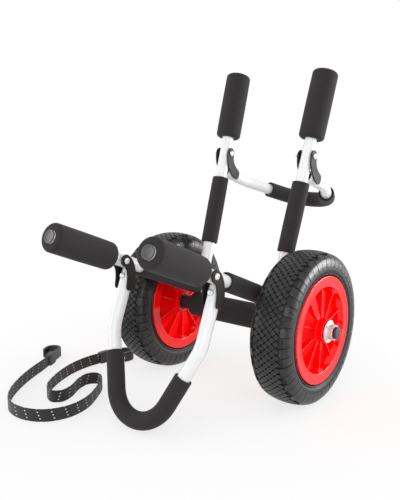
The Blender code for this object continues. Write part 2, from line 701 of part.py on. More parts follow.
def make_wheel(label, side):
    spin = bpy.data.objects.new(f"wheel_axis_{label}", None)
    CART.objects.link(spin)
    spin.matrix_world = Matrix.Translation(AXLE_CENTRE + ALONG_X * side * WHEEL_TRACK / 2)
    hold(spin,
         make_tyre(label, side),
         make_rim_half(f"rim_outer_{label}", side, True, HUB_OUTER_HALF),
         make_rim_half(f"rim_inner_{label}", side, False, HUB_INNER_HALF),
         make_bush(f"hub_bush_outer_{label}", side, True, HUB_OUTER_HALF),
         make_bush(f"hub_bush_inner_{label}", side, False, HUB_INNER_HALF))
    make_collar(label, side)
    make_axle_plug(label, side)
    spacer = ring_profile(SPACER_DIA / 2, AXLE_R + HOLE_FIT, SPACER_END - SPACER_START,
                          -(SPACER_END - SPACER_START) / 2)
    spacer_x = side * (SPACER_START + SPACER_END) / 2
    smooth(as_mesh(turned(f"axle_spacer_{label}", spacer, on_axle(spacer_x), "black_plastic")))


def hold(empty, *pieces):
    """Parents pieces to the empty on their joint's axis, where they stand."""
    bpy.context.view_layer.update()
    for piece in pieces:
        piece.parent = empty
        piece.matrix_parent_inverse = empty.matrix_world.inverted()


# Folding bars

def u_path(half_width, reach, start):
    """A U-bar's centreline from one leg's end to the other, as (across, along) pairs.

    The legs run side by side, draw in at U_TAPER and close in an arc of U_RADIUS. start is how far
    along the bar its ends lie, and reach is where the arc ends.
    """
    def half():
        slant_x = U_RADIUS * math.cos(U_TAPER)
        slant_d = reach - U_RADIUS + U_RADIUS * math.sin(U_TAPER)
        meet_d = slant_d - (half_width - slant_x) / math.tan(U_TAPER)
        points = []
        if start < meet_d:
            tangent = U_BEND * math.tan(U_TAPER / 2)
            points.append((half_width, start))
            for i in range(4):
                angle = U_TAPER * i / 3
                points.append((half_width - U_BEND * (1 - math.cos(angle)),
                               meet_d - tangent + U_BEND * math.sin(angle)))
        else:
            points.append((slant_x + (slant_d - start) * math.tan(U_TAPER), start))
        for i in range(6):
            angle = U_TAPER + (math.pi / 2 - U_TAPER) * i / 6
            points.append((U_RADIUS * math.cos(angle), reach - U_RADIUS + U_RADIUS * math.sin(angle)))
        return points
    side = half()
    return side + [(0, reach)] + [(-x, d) for x, d in reversed(side)]


def bracket_outline(lobe):
    """The plate's S-shaped edge, as (along the tube, away from it), round three circles."""
    centres = (Vector((0, 0)), Vector((lobe.x / 2, 0.0015)), lobe)
    radii = (BOSS_RADIUS, WAIST_RADIUS, LOBE_RADIUS)
    count = 4
    spine = []
    for i in range(count + 1):
        t = i / count
        point = centres[0] * (1 - t) ** 2 + centres[1] * 2 * t * (1 - t) + centres[2] * t ** 2
        slope = (centres[1] - centres[0]) * 2 * (1 - t) + (centres[2] - centres[1]) * 2 * t
        width = radii[0] * (1 - t) ** 2 + radii[1] * 2 * t * (1 - t) + radii[2] * t ** 2
        spine.append((point, slope.normalized(), width))
    left = [point + Vector((-slope.y, slope.x)) * width for point, slope, width in spine]
    right = [point - Vector((-slope.y, slope.x)) * width for point, slope, width in spine]
    point, slope, width = spine[-1]
    end = [point + width * (slope * math.sin(a) + Vector((-slope.y, slope.x)) * math.cos(a))
           for a in (math.pi * k / 5 for k in range(1, 5))]
    point, slope, width = spine[0]
    begin = [point - width * (slope * math.sin(a) + Vector((-slope.y, slope.x)) * math.cos(a))
             for a in (math.pi * k / 5 for k in range(1, 5))]
    return [tuple(p) for p in (*left, *end, *reversed(right), *begin)]


def bar_frame(pivot, along_tube, away, x=0.0):
    """Matrix with local X along the tube, local Y away from it and local Z along the hinge axis."""
    z_axis = along_tube.cross(away)
    turn = Matrix((along_tube, away, z_axis)).transposed().to_4x4()
    return Matrix.Translation(Vector((x, pivot.y, pivot.z))) @ turn


def make_folding_bar(kind, pivot, along_tube, away, lobe, reach, foam_reach):
    """The U-bar, its foam, and on each side the bracket, its pivot bolt and its nut.

    The lobe is where the brackets hold the bar's legs, as (along the tube, away from it).
    """
    half_width = abs(pivot.x)
    axis = bpy.data.objects.new(f"{kind}_axis", None)
    CART.objects.link(axis)
    axis.matrix_world = Matrix.Translation(Vector((0, pivot.y, pivot.z)))
    middle = bar_frame(pivot, along_tube, away)

    def in_space(x, distance):
        return middle @ Vector((lobe.x, distance, 0)) + ALONG_X * x

    def route(start):
        return [in_space(x, d) for x, d in u_path(half_width, reach, start)]

    tube = bar(f"{kind}_bar", route(LEG_END), TUBE_R, "white_paint")
    foam = bar(f"{kind}_foam", route(reach - foam_reach), SLEEVE_DIA / 2, "black_foam")
    cut(foam, bar(f"{kind}_foam_bore", route(LEG_END), FOAM_BORE))
    smooth(tube)
    for label, side in SIDES:
        pin_x = ALONG_X * side * half_width
        pin_at = middle @ lobe.to_3d() + pin_x
        cut(tube, rod_cutter(f"{kind}_pin_hole_{label}", BRACKET_PIN_DIA / 2 + HOLE_FIT,
                             pin_at - ALONG_X * TUBE_DIA, pin_at + ALONG_X * TUBE_DIA))
        top = middle @ Vector((lobe.x, LEG_END, 0)) + pin_x
        cut(tube, rod_cutter(f"{kind}_leg_bore_{label}", TUBE_BORE, top - away * TUBE_R, top + away * LEG_BORE,
                             TUBE_STEPS))
        bracket = make_bracket(kind, label, side, pivot, along_tube, away, lobe, pin_at)
        hold(axis, bracket)
        make_pivot_bolt(kind, label, Vector((side * half_width, pivot.y, pivot.z)))
    if kind == "front_stand":
        for label, side in SIDES:
            hold(axis, make_stand_screw(label, side, tube, in_space, along_tube, half_width))
    tube = smooth(as_mesh(tube))
    foam = smooth(as_mesh(foam))
    hold(axis, tube, foam)
    return axis


def make_bracket(kind, label, side, pivot, along_tube, away, lobe, pin_at):
    """A clevis: two dog-leg plates joined by the pin through the bar's leg."""
    hole = circle_points(PIVOT_BOLT_DIA / 2 + HOLE_FIT)
    outline = bracket_outline(lobe)
    centre = side * abs(pivot.x)
    near = outline_plate(f"{kind}_bracket_{label}", [outline, hole], PLATE_THICKNESS,
                         bar_frame(pivot, along_tube, away, centre - PLATE_PITCH), "black_paint")
    far = outline_plate(f"{kind}_plate_{label}_tool", [outline, hole], PLATE_THICKNESS,
                        bar_frame(pivot, along_tube, away, centre + PLATE_PITCH))
    reach = ALONG_X * PLATE_PITCH
    pin = rod_cutter(f"{kind}_pin_{label}", BRACKET_PIN_DIA / 2, pin_at - reach, pin_at + reach)
    # A boss pressed inwards round each bolt hole bridges the gap to the tube
    height = PLATE_THICKNESS / 2 + BRACKET_GAP - 2 * FIT
    bosses = []
    for turn in (0, math.pi):
        place = Matrix.Translation(Vector((centre, pivot.y, pivot.z))) @ TO_X @ Matrix.Rotation(turn, 4, "X")
        profile = ring_profile(PLATE_BOSS_DIA / 2, PIVOT_BOLT_DIA / 2 + HOLE_FIT, height, PLATE_PITCH - height)
        bosses.append(as_mesh(turned(f"{kind}_boss_{label}_{turn:.0f}", profile, place, steps=HOLE_STEPS)))
    join(near, far, as_mesh(pin), *bosses)
    return smooth(as_mesh(near))


def make_pivot_bolt(kind, label, centre):
    """A button-head bolt on the +X face, through the plates and the tube, with its nut behind."""
    face = PLATE_PITCH + PLATE_THICKNESS / 2
    shank = PIVOT_BOLT_DIA / 2
    head = BOLT_HEAD_DIA / 2
    start = face + FIT
    dome = [(head * math.cos(a), start + BOLT_HEAD * (0.25 + 0.75 * math.sin(a)))
            for a in (math.radians(70), math.radians(35), 0)]
    tail = face + FIT + NUT_HEIGHT + 0.0012
    profile = [(0, start + BOLT_HEAD), *dome, (head, start), (shank, start), (shank, -tail), (0, -tail)]
    bolt = turned(f"{kind}_bolt_{label}", profile, Matrix.Translation(centre) @ TO_X, "zinc", SMALL_STEPS)
    smooth(as_mesh(bolt))
    nut_x = centre - ALONG_X * (face + FIT + NUT_HEIGHT / 2)
    nut = outline_plate(f"{kind}_nut_{label}", [hex_points(NUT_WIDTH), circle_points(shank + HOLE_FIT)],
                        NUT_HEIGHT, Matrix.Translation(nut_x) @ TO_X, "zinc")
    smooth(nut)


def make_stand_screw(label, side, tube, in_space, along_tube, half_width):
    """A dome-headed screw in the front of each kickstand leg, near its top."""
    front = -along_tube
    on_axis = in_space(side * half_width, LEG_END + SCREW_FROM_END)
    seat = on_axis + front * (TUBE_R + FIT)
    head = SCREW_HEAD_DIA / 2
    dome = [(head * math.cos(a), SCREW_HEAD * (0.2 + 0.8 * math.sin(a)))
            for a in (math.radians(60), math.radians(30), 0)]
    profile = [(0, SCREW_HEAD), *dome, (head, 0), (SCREW_DIA / 2, 0), (SCREW_DIA / 2, -SCREW_DEPTH),
               (0, -SCREW_DEPTH)]
    screw = as_mesh(turned(f"stand_screw_{label}", profile, aligned(seat, front), "zinc", SMALL_STEPS))
    cut(tube, rod_cutter(f"stand_screw_hole_{label}", SCREW_DIA / 2 + HOLE_FIT,
                         seat - front * (SCREW_DEPTH + 2 * FIT), seat + front * SCREW_HEAD))
    return smooth(screw)


# Tie-down strap

def smooth_route(points, per_span=2):
    """Reads a Catmull-Rom curve through the route's own points."""
    route = [Vector(point) for point in points]
    route = [2 * route[0] - route[1], *route, 2 * route[-1] - route[-2]]
    made = []
    for i in range(1, len(route) - 2):
        before, here, there, after = route[i - 1:i + 3]
        for k in range(per_span):
            t = k / per_span
            made.append(0.5 * (2 * here + (there - before) * t
                               + (2 * before - 5 * here + 4 * there - after) * t ** 2
                               + (3 * here - before - 3 * there + after) * t ** 3))
    made.append(route[-2])
    return made


def on_floor(height):
    centre = Vector((STRAP_CENTRE[0], STRAP_CENTRE[1], height))
    return Matrix.Translation(centre) @ Matrix.Rotation(STRAP_TURN, 4, "Z")


def make_hook(label, end, direction, hand):
    """A moulded J-hook lying on the floor: a ferrule block, a shank and a half-round hook."""
    forward = Vector(direction).normalized()
    aside = Vector((-forward.y, forward.x)) * hand
    width, length, height = HOOK_BLOCK
    start = Vector(end) + forward * FIT
    corners = [start + forward * u * length + aside * v * width
               for u, v in ((0, -0.42), (0, 0.42), (0.25, 0.5), (1, 0.5), (1, -0.5), (0.25, -0.5))]
    block = outline_plate(f"strap_hook_{label}", [[tuple(c) for c in corners]], height,
                          on_floor(FIT + height / 2), "black_plastic")
    route = [start + forward * length * 0.5, start + forward * (length + HOOK_SHANK)]
    centre = route[-1] + aside * HOOK_RADIUS
    for k in range(1, 11):
        angle = math.pi * k / 10
        route.append(centre - aside * HOOK_RADIUS * math.cos(angle) + forward * HOOK_RADIUS * math.sin(angle))
    route.append(route[-1] - forward * HOOK_TIP)
    curl = ribbon(f"hook_{label}_tool", [tuple(p) for p in route], HOOK_WIDTH, HOOK_THICKNESS,
                  on_floor(FIT + HOOK_WIDTH / 2))
    join(block, as_mesh(curl))
    return smooth(as_mesh(block))


def make_strap():
    route = smooth_route(STRAP_ROUTE)
    strap = ribbon("strap", [tuple(p) for p in route], STRAP_WIDTH, STRAP_THICKNESS,
                   on_floor(FIT + STRAP_WIDTH / 2), "black_webbing")
    smooth(as_mesh(strap))
    make_hook("left", route[0], route[0] - route[1], -1)
    make_hook("right", route[-1], route[-1] - route[-2], 1)
    length = sum((b - a).length for a, b in zip(route, route[1:]))
    print(f"strap length {length:.3f} m")


for side_name, side_sign in SIDES:
    make_side(side_name, side_sign)
    make_wheel(side_name, side_sign)
make_axle()
ARM_BACK = -ARM_FORE
make_folding_bar("front_stand", FRONT_PIVOT, ARM_BACK, STAND_DOWN, STAND_LOBE, FRONT_REACH,
                 FRONT_FOAM_REACH)
make_folding_bar("rear_bar", REAR_PIVOT, DOWN_UPRIGHT, PIVOT_TO_REAR, REAR_LOBE, REAR_REACH, REAR_FOAM_REACH)
make_strap()
print(f"axle at y {AXLE_Y:.4f}, z {AXLE_Z:.4f}")
print(f"front pivot {tuple(round(v, 4) for v in FRONT_PIVOT)}")
print(f"rear pivot {tuple(round(v, 4) for v in REAR_PIVOT)}")
print(f"front reach {FRONT_REACH:.4f}, objects {len(CART.objects)}")
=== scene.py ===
# %% [markdown]
# A paddleboard cart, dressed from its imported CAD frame
# The CAD model gives every rigid piece its true size and place. This lesson adds what a
# CAD solid lacks: foam that looks soft, a moulded tyre, painted tube, woven elastic and
# plain studio light. Each piece is made where the CAD says, in metres, so nothing is fitted.
# +X runs along the axle, -Y is the front and +Z is up, with the floor at zero.

# %% Load the frame
import math

import bmesh
import bpy
from mathutils import Matrix, Vector


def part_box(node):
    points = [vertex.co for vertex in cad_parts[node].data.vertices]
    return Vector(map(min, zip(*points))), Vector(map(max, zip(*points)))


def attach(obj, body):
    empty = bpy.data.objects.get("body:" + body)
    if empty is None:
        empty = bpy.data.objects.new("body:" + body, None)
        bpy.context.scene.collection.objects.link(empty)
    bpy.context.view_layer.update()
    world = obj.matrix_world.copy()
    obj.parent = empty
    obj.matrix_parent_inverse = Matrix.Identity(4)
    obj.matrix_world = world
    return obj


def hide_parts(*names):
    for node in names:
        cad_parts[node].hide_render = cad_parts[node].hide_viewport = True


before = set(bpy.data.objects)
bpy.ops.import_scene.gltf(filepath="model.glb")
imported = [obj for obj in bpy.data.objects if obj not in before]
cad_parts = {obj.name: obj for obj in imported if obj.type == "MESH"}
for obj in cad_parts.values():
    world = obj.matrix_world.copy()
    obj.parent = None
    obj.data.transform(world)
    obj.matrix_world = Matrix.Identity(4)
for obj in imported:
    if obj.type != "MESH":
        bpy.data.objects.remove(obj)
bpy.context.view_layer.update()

AXLE = sum(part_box("axle"), Vector()) / 2
# From the cart's middle to the middle plane of each wheel
WHEEL_X = 0.17375
# The gap that the CAD model leaves between two pieces that touch
FIT = 0.0003
print(f"{len(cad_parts)} CAD nodes, axle centre at {tuple(round(v, 4) for v in AXLE)}")

# %% [markdown]
# The camera
# The photograph was taken from the front right, a little above the wheels. The camera's place
# was solved from the wheel rims and the tube ends, which gives a distance as well as a
# direction. A rotation matrix built from the viewing angles is easier to check than a
# constraint, and it leaves no helper object in the scene.

# %% Camera
CAMERA_AT = AXLE + Vector((0.7765, -1.1214, 0.3851))
AZIMUTH, ELEVATION, ROLL = (math.radians(angle) for angle in (37.75, 10.47, 0.336))

camera = bpy.data.objects.new("camera", bpy.data.cameras.new("camera"))
camera.data.lens = 47.42
backwards = Vector((math.sin(AZIMUTH) * math.cos(ELEVATION), -math.cos(AZIMUTH) * math.cos(ELEVATION),
                    math.sin(ELEVATION)))
rightwards = Vector((math.cos(AZIMUTH), math.sin(AZIMUTH), 0))
facing = Matrix((rightwards, backwards.cross(rightwards), backwards)).transposed().to_4x4()
camera.matrix_world = Matrix.Translation(CAMERA_AT) @ facing @ Matrix.Rotation(ROLL, 4, "Z")
bpy.context.scene.collection.objects.link(camera)
bpy.context.scene.camera = camera
print(f"camera {(CAMERA_AT - AXLE).length:.2f} m from the axle")

# %% [markdown]
# Meshes from rings
# Nearly every mesh here is a row of rings, which are loops of vertices, each joined to the next
# with four-sided faces. The joining and the making of an object are written once, so that a
# piece's own function only has to say where its rings lie.

# %% Meshes from rings
def mesh_object(name, work):
    """An object in the scene with a bmesh's faces."""
    mesh = bpy.data.meshes.new(name)
    work.to_mesh(mesh)
    work.free()
    made = bpy.data.objects.new(name, mesh)
    bpy.context.scene.collection.objects.link(made)
    return made


def new_piece(name, work, body):
    """A piece of the cart, which rides on a CAD body."""
    piece = mesh_object(name, work)
    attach(piece, body)
    return piece


def bridge(work, rings, around=True, caps=False):
    """Joins each ring of vertices to the next with four-sided faces, and may close both ends."""
    faces = []
    for here, there in zip(rings, rings[1:]):
        for k in range(len(here) if around else len(here) - 1):
            m = (k + 1) % len(here)
            faces.append(work.faces.new((here[k], here[m], there[m], there[k])))
    if caps:
        work.faces.new(reversed(rings[0]))
        work.faces.new(rings[-1])
    return faces


def turns(count):
    """Angles that share out a whole turn."""
    return [2 * math.pi * k / count for k in range(count)]


print("rings can be joined")

# %% [markdown]
# The tie-down strap
# A flat elastic band ties the board to the cart. It lies beside the cart, standing on its
# edge as such a band does when it is dropped in loose loops. The route is the CAD model's
# own, read through a Catmull-Rom curve, so the band has the strap's true length of just under a
# metre. A mesh strip is used and not a bevelled curve, because the weave and its reflective
# flecks need a coordinate along the band, which is kept as a UV map.

# %% Strap route
STRAP_WIDTH = 0.025
STRAP_THICKNESS = 0.0026
STRAP_CENTRE = Vector((-0.275, -0.205, FIT + STRAP_WIDTH / 2))
STRAP_TURN = math.radians(210.0)
STRAP_ROUTE = (
    (-0.040, -0.112), (-0.022, -0.088), (-0.004, -0.052), (0.008, -0.008), (0.013, 0.040),
    (0.010, 0.084), (-0.008, 0.112), (-0.030, 0.108), (-0.040, 0.080), (-0.042, 0.044),
    (-0.052, 0.014), (-0.073, 0.008), (-0.088, 0.030), (-0.092, 0.076), (-0.088, 0.132),
    (-0.066, 0.178), (-0.026, 0.202), (0.020, 0.196), (0.056, 0.166), (0.074, 0.118),
    (0.080, 0.060), (0.078, 0.000), (0.072, -0.050), (0.070, -0.078),
)


def smooth_route(points, per_span):
    """Points of a Catmull-Rom curve through the given ones, with straight ends."""
    route = [Vector(point) for point in points]
    route = [2 * route[0] - route[1], *route, 2 * route[-1] - route[-2]]
    made = []
    for i in range(1, len(route) - 2):
        before, here, there, after = route[i - 1:i + 3]
        for k in range(per_span):
            t = k / per_span
            made.append(0.5 * (2 * here + (there - before) * t
                               + (2 * before - 5 * here + 4 * there - after) * t ** 2
                               + (3 * here - before - 3 * there + after) * t ** 3))
    made.append(route[-2])
    return made


on_floor = Matrix.Translation(STRAP_CENTRE) @ Matrix.Rotation(STRAP_TURN, 4, "Z")
strap_line = [on_floor @ point.to_3d() for point in smooth_route(STRAP_ROUTE, 6)]
strap_length = sum((b - a).length for a, b in zip(strap_line, strap_line[1:]))
print(f"the strap is {strap_length:.3f} m long")


# %% Strap band
def make_band(name, line, width, thickness):
    """A flat band on edge along a line, a little thinner at its two selvedges."""
    work = bmesh.new()
    along = work.loops.layers.uv.new("along")
    half = thickness / 2
    # Across the band: (height, half thickness), from the lower edge to the upper
    profile = [(-0.5, 0.35), (-0.47, 0.9), (-0.40, 1.0), (-0.1, 0.94),
               (0.1, 0.94), (0.40, 1.0), (0.47, 0.9), (0.5, 0.35)]
    section = [(h * width, t * half) for h, t in profile]
    section += [(h, -t) for h, t in reversed(section)]
    rings, marks = [], {}
    distance = 0.0
    for i, point in enumerate(line):
        before, after = line[max(i - 1, 0)], line[min(i + 1, len(line) - 1)]
        if i:
            distance += (point - line[i - 1]).length
        heading = (after - before).normalized()
        aside = Vector((-heading.y, heading.x, 0))
        ring = [work.verts.new(point + aside * t + Vector((0, 0, h))) for h, t in section]
        marks.update((vert, (distance, h)) for vert, (h, t) in zip(ring, section))
        rings.append(ring)
    for face in bridge(work, rings, caps=True):
        face.smooth = True
        for loop in face.loops:
            loop[along].uv = marks[loop.vert]
    bmesh.ops.recalc_face_normals(work, faces=work.faces)
    return new_piece(name, work, "frame")


strap = make_band("strap_band", strap_line, STRAP_WIDTH, STRAP_THICKNESS)
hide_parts("strap")
print(f"strap with {len(strap.data.polygons)} faces")

# %% [markdown]
# Writing a finish as a sum
# A procedural finish is a small calculation on the surface: noise, masks and distances that end
# in a colour, a roughness or a bump. Written as nodes and links, such a calculation is long and
# hard to read. One small class wraps a node's output, so that an ordinary Python sum adds the
# Math nodes, and one method adds every other node. The sum then reads as what it does.

# %% Sums of sockets
class Socket:
    """A node's output. An operator between it and a number or another output adds a Math node."""

    def __init__(self, nodes, output):
        self.nodes = nodes
        self.output = output

    def maths(self, operation, first, second):
        return self.nodes.node("ShaderNodeMath", {"operation": operation}, {0: first, 1: second})

    def __add__(self, other):
        return self.maths("ADD", self, other)

    def __radd__(self, other):
        return self.maths("ADD", other, self)

    def __sub__(self, other):
        return self.maths("SUBTRACT", self, other)

    def __rsub__(self, other):
        return self.maths("SUBTRACT", other, self)

    def __mul__(self, other):
        return self.maths("MULTIPLY", self, other)

    def __rmul__(self, other):
        return self.maths("MULTIPLY", other, self)

    def __truediv__(self, other):
        return self.maths("DIVIDE", self, other)

    def __lt__(self, other):
        return self.maths("LESS_THAN", self, other)

    def __gt__(self, other):
        return self.maths("GREATER_THAN", self, other)

    def larger(self, other):
        return self.maths("MAXIMUM", self, other)

    def magnitude(self):
        return self.maths("ABSOLUTE", self, 0.0)

    def sine(self):
        return self.maths("SINE", self, 0.0)

    def bounced(self, length):
        """Up and down again between 0 and a length, which is the distance to the nearest row."""
        return self.maths("PINGPONG", self, length)


class Nodes:
    """A node tree, and a method that adds any node to it."""

    def __init__(self, tree):
        self.tree = tree

    def node(self, kind, settings=None, sockets=None, output=0):
        """Adds a node: its settings come first, then the values or links of its sockets."""
        node = self.tree.nodes.new(kind)
        for setting, value in (settings or {}).items():
            if setting == "stops":
                self.set_stops(node.color_ramp, value)
            else:
                setattr(node, setting, value)
        for name, value in (sockets or {}).items():
            self.feed(self.find(node.inputs, name), value)
        return Socket(self, self.find(node.outputs, output))

    def find(self, sockets, name):
        if isinstance(name, int):
            return sockets[name]
        return next(s for s in sockets if name in (s.identifier, s.name))

    def feed(self, socket, value):
        """Links a socket to a sum or sets its value, and gives a colour its alpha."""
        if isinstance(value, Socket):
            self.tree.links.new(value.output, socket)
        else:
            socket.default_value = (*value, 1.0) if socket.type == "RGBA" else value

    def set_stops(self, ramp, stops):
        while len(ramp.elements) < len(stops):
            ramp.elements.new(1.0)
        for element, (position, grey) in zip(ramp.elements, stops):
            element.position = position
            element.color = (grey, grey, grey, 1)


def input_name(word):
    """The name of a shader socket from a Python word, as in Base_Color or coat_weight."""
    return word.replace("_", " ").title().replace("Ior", "IOR")


class Finish(Nodes):
    """A surface finish: one material with a Principled shader."""

    def __init__(self, name, roughness, metallic=0.0, **constants):
        self.material = bpy.data.materials.new(name)
        self.material.use_nodes = True
        super().__init__(self.material.node_tree)
        self.shader = self.tree.nodes["Principled BSDF"]
        self.surface(Roughness=roughness, Metallic=metallic, **constants)

    def surface(self, **inputs):
        """Feeds the shader's own sockets, named in words with underscores."""
        for name, value in inputs.items():
            self.feed(self.shader.inputs[input_name(name)], value)

    def place(self):
        """Coordinates in metres in the part's own frame, which stay with a piece when it moves."""
        return self.node("ShaderNodeTexCoord", output="Object")

    def axis(self, vector, letter):
        """One of a vector's three parts."""
        return self.node("ShaderNodeSeparateXYZ", None, {"Vector": vector}, letter)

    def grain(self, scale, detail=3.0, roughness=0.55):
        """Noise from 0 to 1. The scale is how many blobs there are in a metre."""
        sockets = {"Vector": self.place(), "Scale": scale, "Detail": detail, "Roughness": roughness}
        return self.node("ShaderNodeTexNoise", None, sockets, "Fac")

    def ramp(self, value, stops):
        """A value bent through grey stops, each a position and a level."""
        return self.node("ShaderNodeValToRGB", {"stops": stops}, {"Fac": value}, "Color")

    def mixed(self, mask, first, second):
        """From the first colour to the second as the mask goes from 0 to 1."""
        return self.node("ShaderNodeMix", {"data_type": "RGBA"},
                         {"Factor_Float": mask, "A_Color": first, "B_Color": second}, "Result_Color")

    def clouded(self, cloud, dark, light, roughness, spread):
        """From a dark tone to a light one, and from a roughness up, as the cloud goes from 0 to 1."""
        self.surface(Base_Color=self.mixed(cloud, dark, light), Roughness=roughness + cloud * spread)

    def bump(self, height, distance, strength=1.0):
        """A bump from a height of 0 to 1 that stands for a real distance in metres."""
        sockets = {"Height": height, "Distance": distance, "Strength": strength}
        self.surface(Normal=self.node("ShaderNodeBump", None, sockets))


print("sums of sockets are ready")

# %% [markdown]
# Webbing
# The band is woven elastic: black yarn with pale reflective yarn that comes up in slanted rows
# of flecks. A wave in each direction gives the weave's ribs, and two saw-tooth distances along
# and across the band, sheared by its height, give a row of flecks about every 26 mm. The UV map
# holds metres, so each spacing is a real one.

# %% Webbing finish
def make_webbing():
    finish = Finish("webbing", 0.82, sheen_weight=0.25, sheen_roughness=0.5)
    band = finish.node("ShaderNodeUVMap", {"uv_map": "along"})
    along, across = finish.axis(band, "X"), finish.axis(band, "Y")
    from_row = (along + across * -0.34).bounced(0.0130)
    from_step = (across + STRAP_WIDTH / 2).bounced(0.0032)
    # A fleck is an ellipse, 1.1 mm from its middle to its top and 1.5 mm to its end
    fleck = (from_row * from_row * 0.55 + from_step * from_step) < 0.0000012
    weave = (across * 4200.0).sine() * (along * 3600.0).sine() * 0.5 + 0.5
    # The black yarn is painted darker in the hollows of the weave and lighter on its ribs, as shade and light
    shaded_yarn = finish.mixed(weave, (0.011, 0.010, 0.010), (0.030, 0.027, 0.026))
    finish.surface(Base_Color=finish.mixed(fleck, shaded_yarn, (0.82, 0.81, 0.79)))
    finish.surface(Roughness=0.86 - fleck * 0.36)
    finish.bump(weave + fleck * 0.6, 0.0003, 0.7)
    return finish.material


strap.data.materials.append(make_webbing())
print("webbing on the strap")

# %% [markdown]
# Painted tube, foam and plastics
# The tubes have a white powder coat: glossy, with a faint orange peel. The grips and sleeves are
# closed-cell foam, which is nearly black and warm, scatters light softly at its edges and has a
# skin of tiny cells. The brackets have satin black paint, and the caps are moulded grey plastic.
# Each finish gets a broad, faint change of tone as well as its fine grain, because an even
# colour looks like a screen and not like a thing.

# %% Paint, foam and plastic finishes
def make_paint():
    finish = Finish("tube_paint", 0.30, coat_weight=0.35, coat_roughness=0.12)
    cloud = finish.grain(9.0, 2.0)
    handled = finish.ramp(finish.grain(38.0, 5.0, 0.65), [(0.58, 0.0), (0.80, 1.0)])
    clean = finish.mixed(cloud, (0.85, 0.855, 0.865), (0.90, 0.903, 0.91))
    finish.surface(Base_Color=finish.mixed(handled * 0.25, clean, (0.66, 0.66, 0.66)))
    finish.surface(Roughness=0.26 + handled * 0.16)
    finish.bump(finish.grain(420.0, 2.0), 0.00012, 0.5)
    return finish.material


def make_foam():
    finish = Finish("foam", 0.88, sheen_weight=0.05, sheen_roughness=0.45, specular_ior_level=0.42)
    cells = finish.node("ShaderNodeTexVoronoi", {"feature": "F1"},
                        {"Vector": finish.place(), "Scale": 1100.0}, "Distance")
    cloud = finish.grain(26.0, 4.0, 0.6)
    skin = finish.mixed(cloud, (0.016, 0.014, 0.015), (0.024, 0.021, 0.022))
    finish.surface(Base_Color=finish.mixed(cells * 0.35, skin, (0.016, 0.014, 0.015)))
    finish.surface(Roughness=0.80 + cloud * 0.14)
    finish.bump(cells * 0.5 + finish.grain(150.0, 3.0) * 0.5, 0.0004, 0.55)
    return finish.material


def make_bracket_paint():
    finish = Finish("bracket_paint", 0.50, specular_ior_level=0.22)
    finish.clouded(finish.grain(60.0, 4.0), (0.007, 0.006, 0.005), (0.014, 0.012, 0.010), 0.42, 0.18)
    finish.bump(finish.grain(700.0, 2.0), 0.0001, 0.5)
    return finish.material


def make_plastic(name, dark, light, roughness):
    """Moulded plastic with a fine spark-eroded texture."""
    finish = Finish(name, roughness)
    finish.clouded(finish.grain(45.0, 3.0), dark, light, roughness - 0.06, 0.12)
    finish.bump(finish.grain(1600.0, 1.0), 0.00008, 0.5)
    return finish.material


FINISHES = {
    "tube_white": make_paint(),
    "foam_black": make_foam(),
    "bracket_black": make_bracket_paint(),
    "plastic_black": make_plastic("black_plastic", (0.018, 0.018, 0.020), (0.030, 0.030, 0.033), 0.42),
    "cap_grey": make_plastic("grey_plastic", (0.062, 0.062, 0.064), (0.082, 0.082, 0.085), 0.34),
}
print("five slots have their finishes")

# %% [markdown]
# Zinc, red plastic and rubber
# The bolts and the collars are zinc plated: bright metal with faint clouds and turning marks.
# The rims are glossy red plastic, whose only texture is a little flow from the mould. The tyre
# is black rubber, with grey bloom in random patches on its raised faces, while its grooves, its body
# and the sides of its blocks are painted darker, as shade. Height above the tyre's body isn't known
# to a shader, so the tread's mesh carries it as an attribute.

# %% Zinc, rim and tyre finishes
def from_axle(finish):
    """The distance from the axle's line, in metres."""
    moved = finish.node("ShaderNodeVectorMath", {"operation": "SUBTRACT"}, {0: finish.place(), 1: AXLE})
    flat = finish.node("ShaderNodeVectorMath", {"operation": "MULTIPLY"}, {0: moved, 1: (0, 1, 1)})
    return finish.node("ShaderNodeVectorMath", {"operation": "LENGTH"}, {0: flat}, "Value")


def from_wheel(finish):
    """The distance from the nearer wheel's middle plane, in metres."""
    return (finish.axis(finish.place(), "X").magnitude() - WHEEL_X).magnitude()


def make_zinc():
    finish = Finish("zinc", 0.28, metallic=0.75)
    cloud = finish.grain(130.0, 4.0)
    finish.clouded(cloud, (0.66, 0.66, 0.67), (0.80, 0.795, 0.785), 0.38, 0.18)
    # Turning marks 0.7 mm apart
    rings = (from_axle(finish) * 9000.0).sine()
    finish.bump(rings * 0.5 + cloud, 0.00008, 0.5)
    return finish.material


def make_rim_red():
    finish = Finish("rim_red", 0.24, coat_roughness=0.08, specular_ior_level=0.03)
    finish.clouded(finish.grain(18.0, 3.0), (0.90, 0.001, 0.002), (0.98, 0.003, 0.004), 0.20, 0.10)
    # Only the flat ring and the wall inside it are polished, and the web and its ribs are dull
    outward = from_wheel(finish)
    ring = (outward > 0.0336).larger((from_axle(finish) > 0.0765) * (outward > 0.0290))
    finish.surface(Coat_Weight=ring * 0.72)
    finish.bump(finish.grain(260.0, 2.0), 0.00012, 0.4)
    return finish.material


def make_rubber():
    finish = Finish("tyre_rubber", 0.5, specular_ior_level=0.36)
    raised = finish.node("ShaderNodeAttribute", {"attribute_name": "raised"}, output="Fac")
    bloom = finish.ramp(finish.grain(150.0, 6.0, 0.72), [(0.38, 0.0), (0.68, 1.0)])
    top = finish.mixed(bloom, (0.010, 0.010, 0.010), (0.044, 0.042, 0.042))
    # Painted shade: the grooves, the body and the blocks' lower sides are darker than the raised tops
    finish.surface(Base_Color=finish.mixed(raised, (0.012, 0.011, 0.011), top))
    # The lugs on the shoulders are smoother than the crown
    shoulder = from_wheel(finish) > 0.0300
    finish.surface(Roughness=0.46 - raised * 0.10 - shoulder * raised * 0.11 + bloom * 0.14)
    finish.bump(finish.grain(520.0, 4.0, 0.7) * (1.0 - shoulder * 0.88), 0.0003, 0.4)
    return finish.material


FINISHES.update(zinc=make_zinc(), rim_red=make_rim_red(), tyre_black=make_rubber())
print(f"{len(FINISHES)} slots have their finishes")

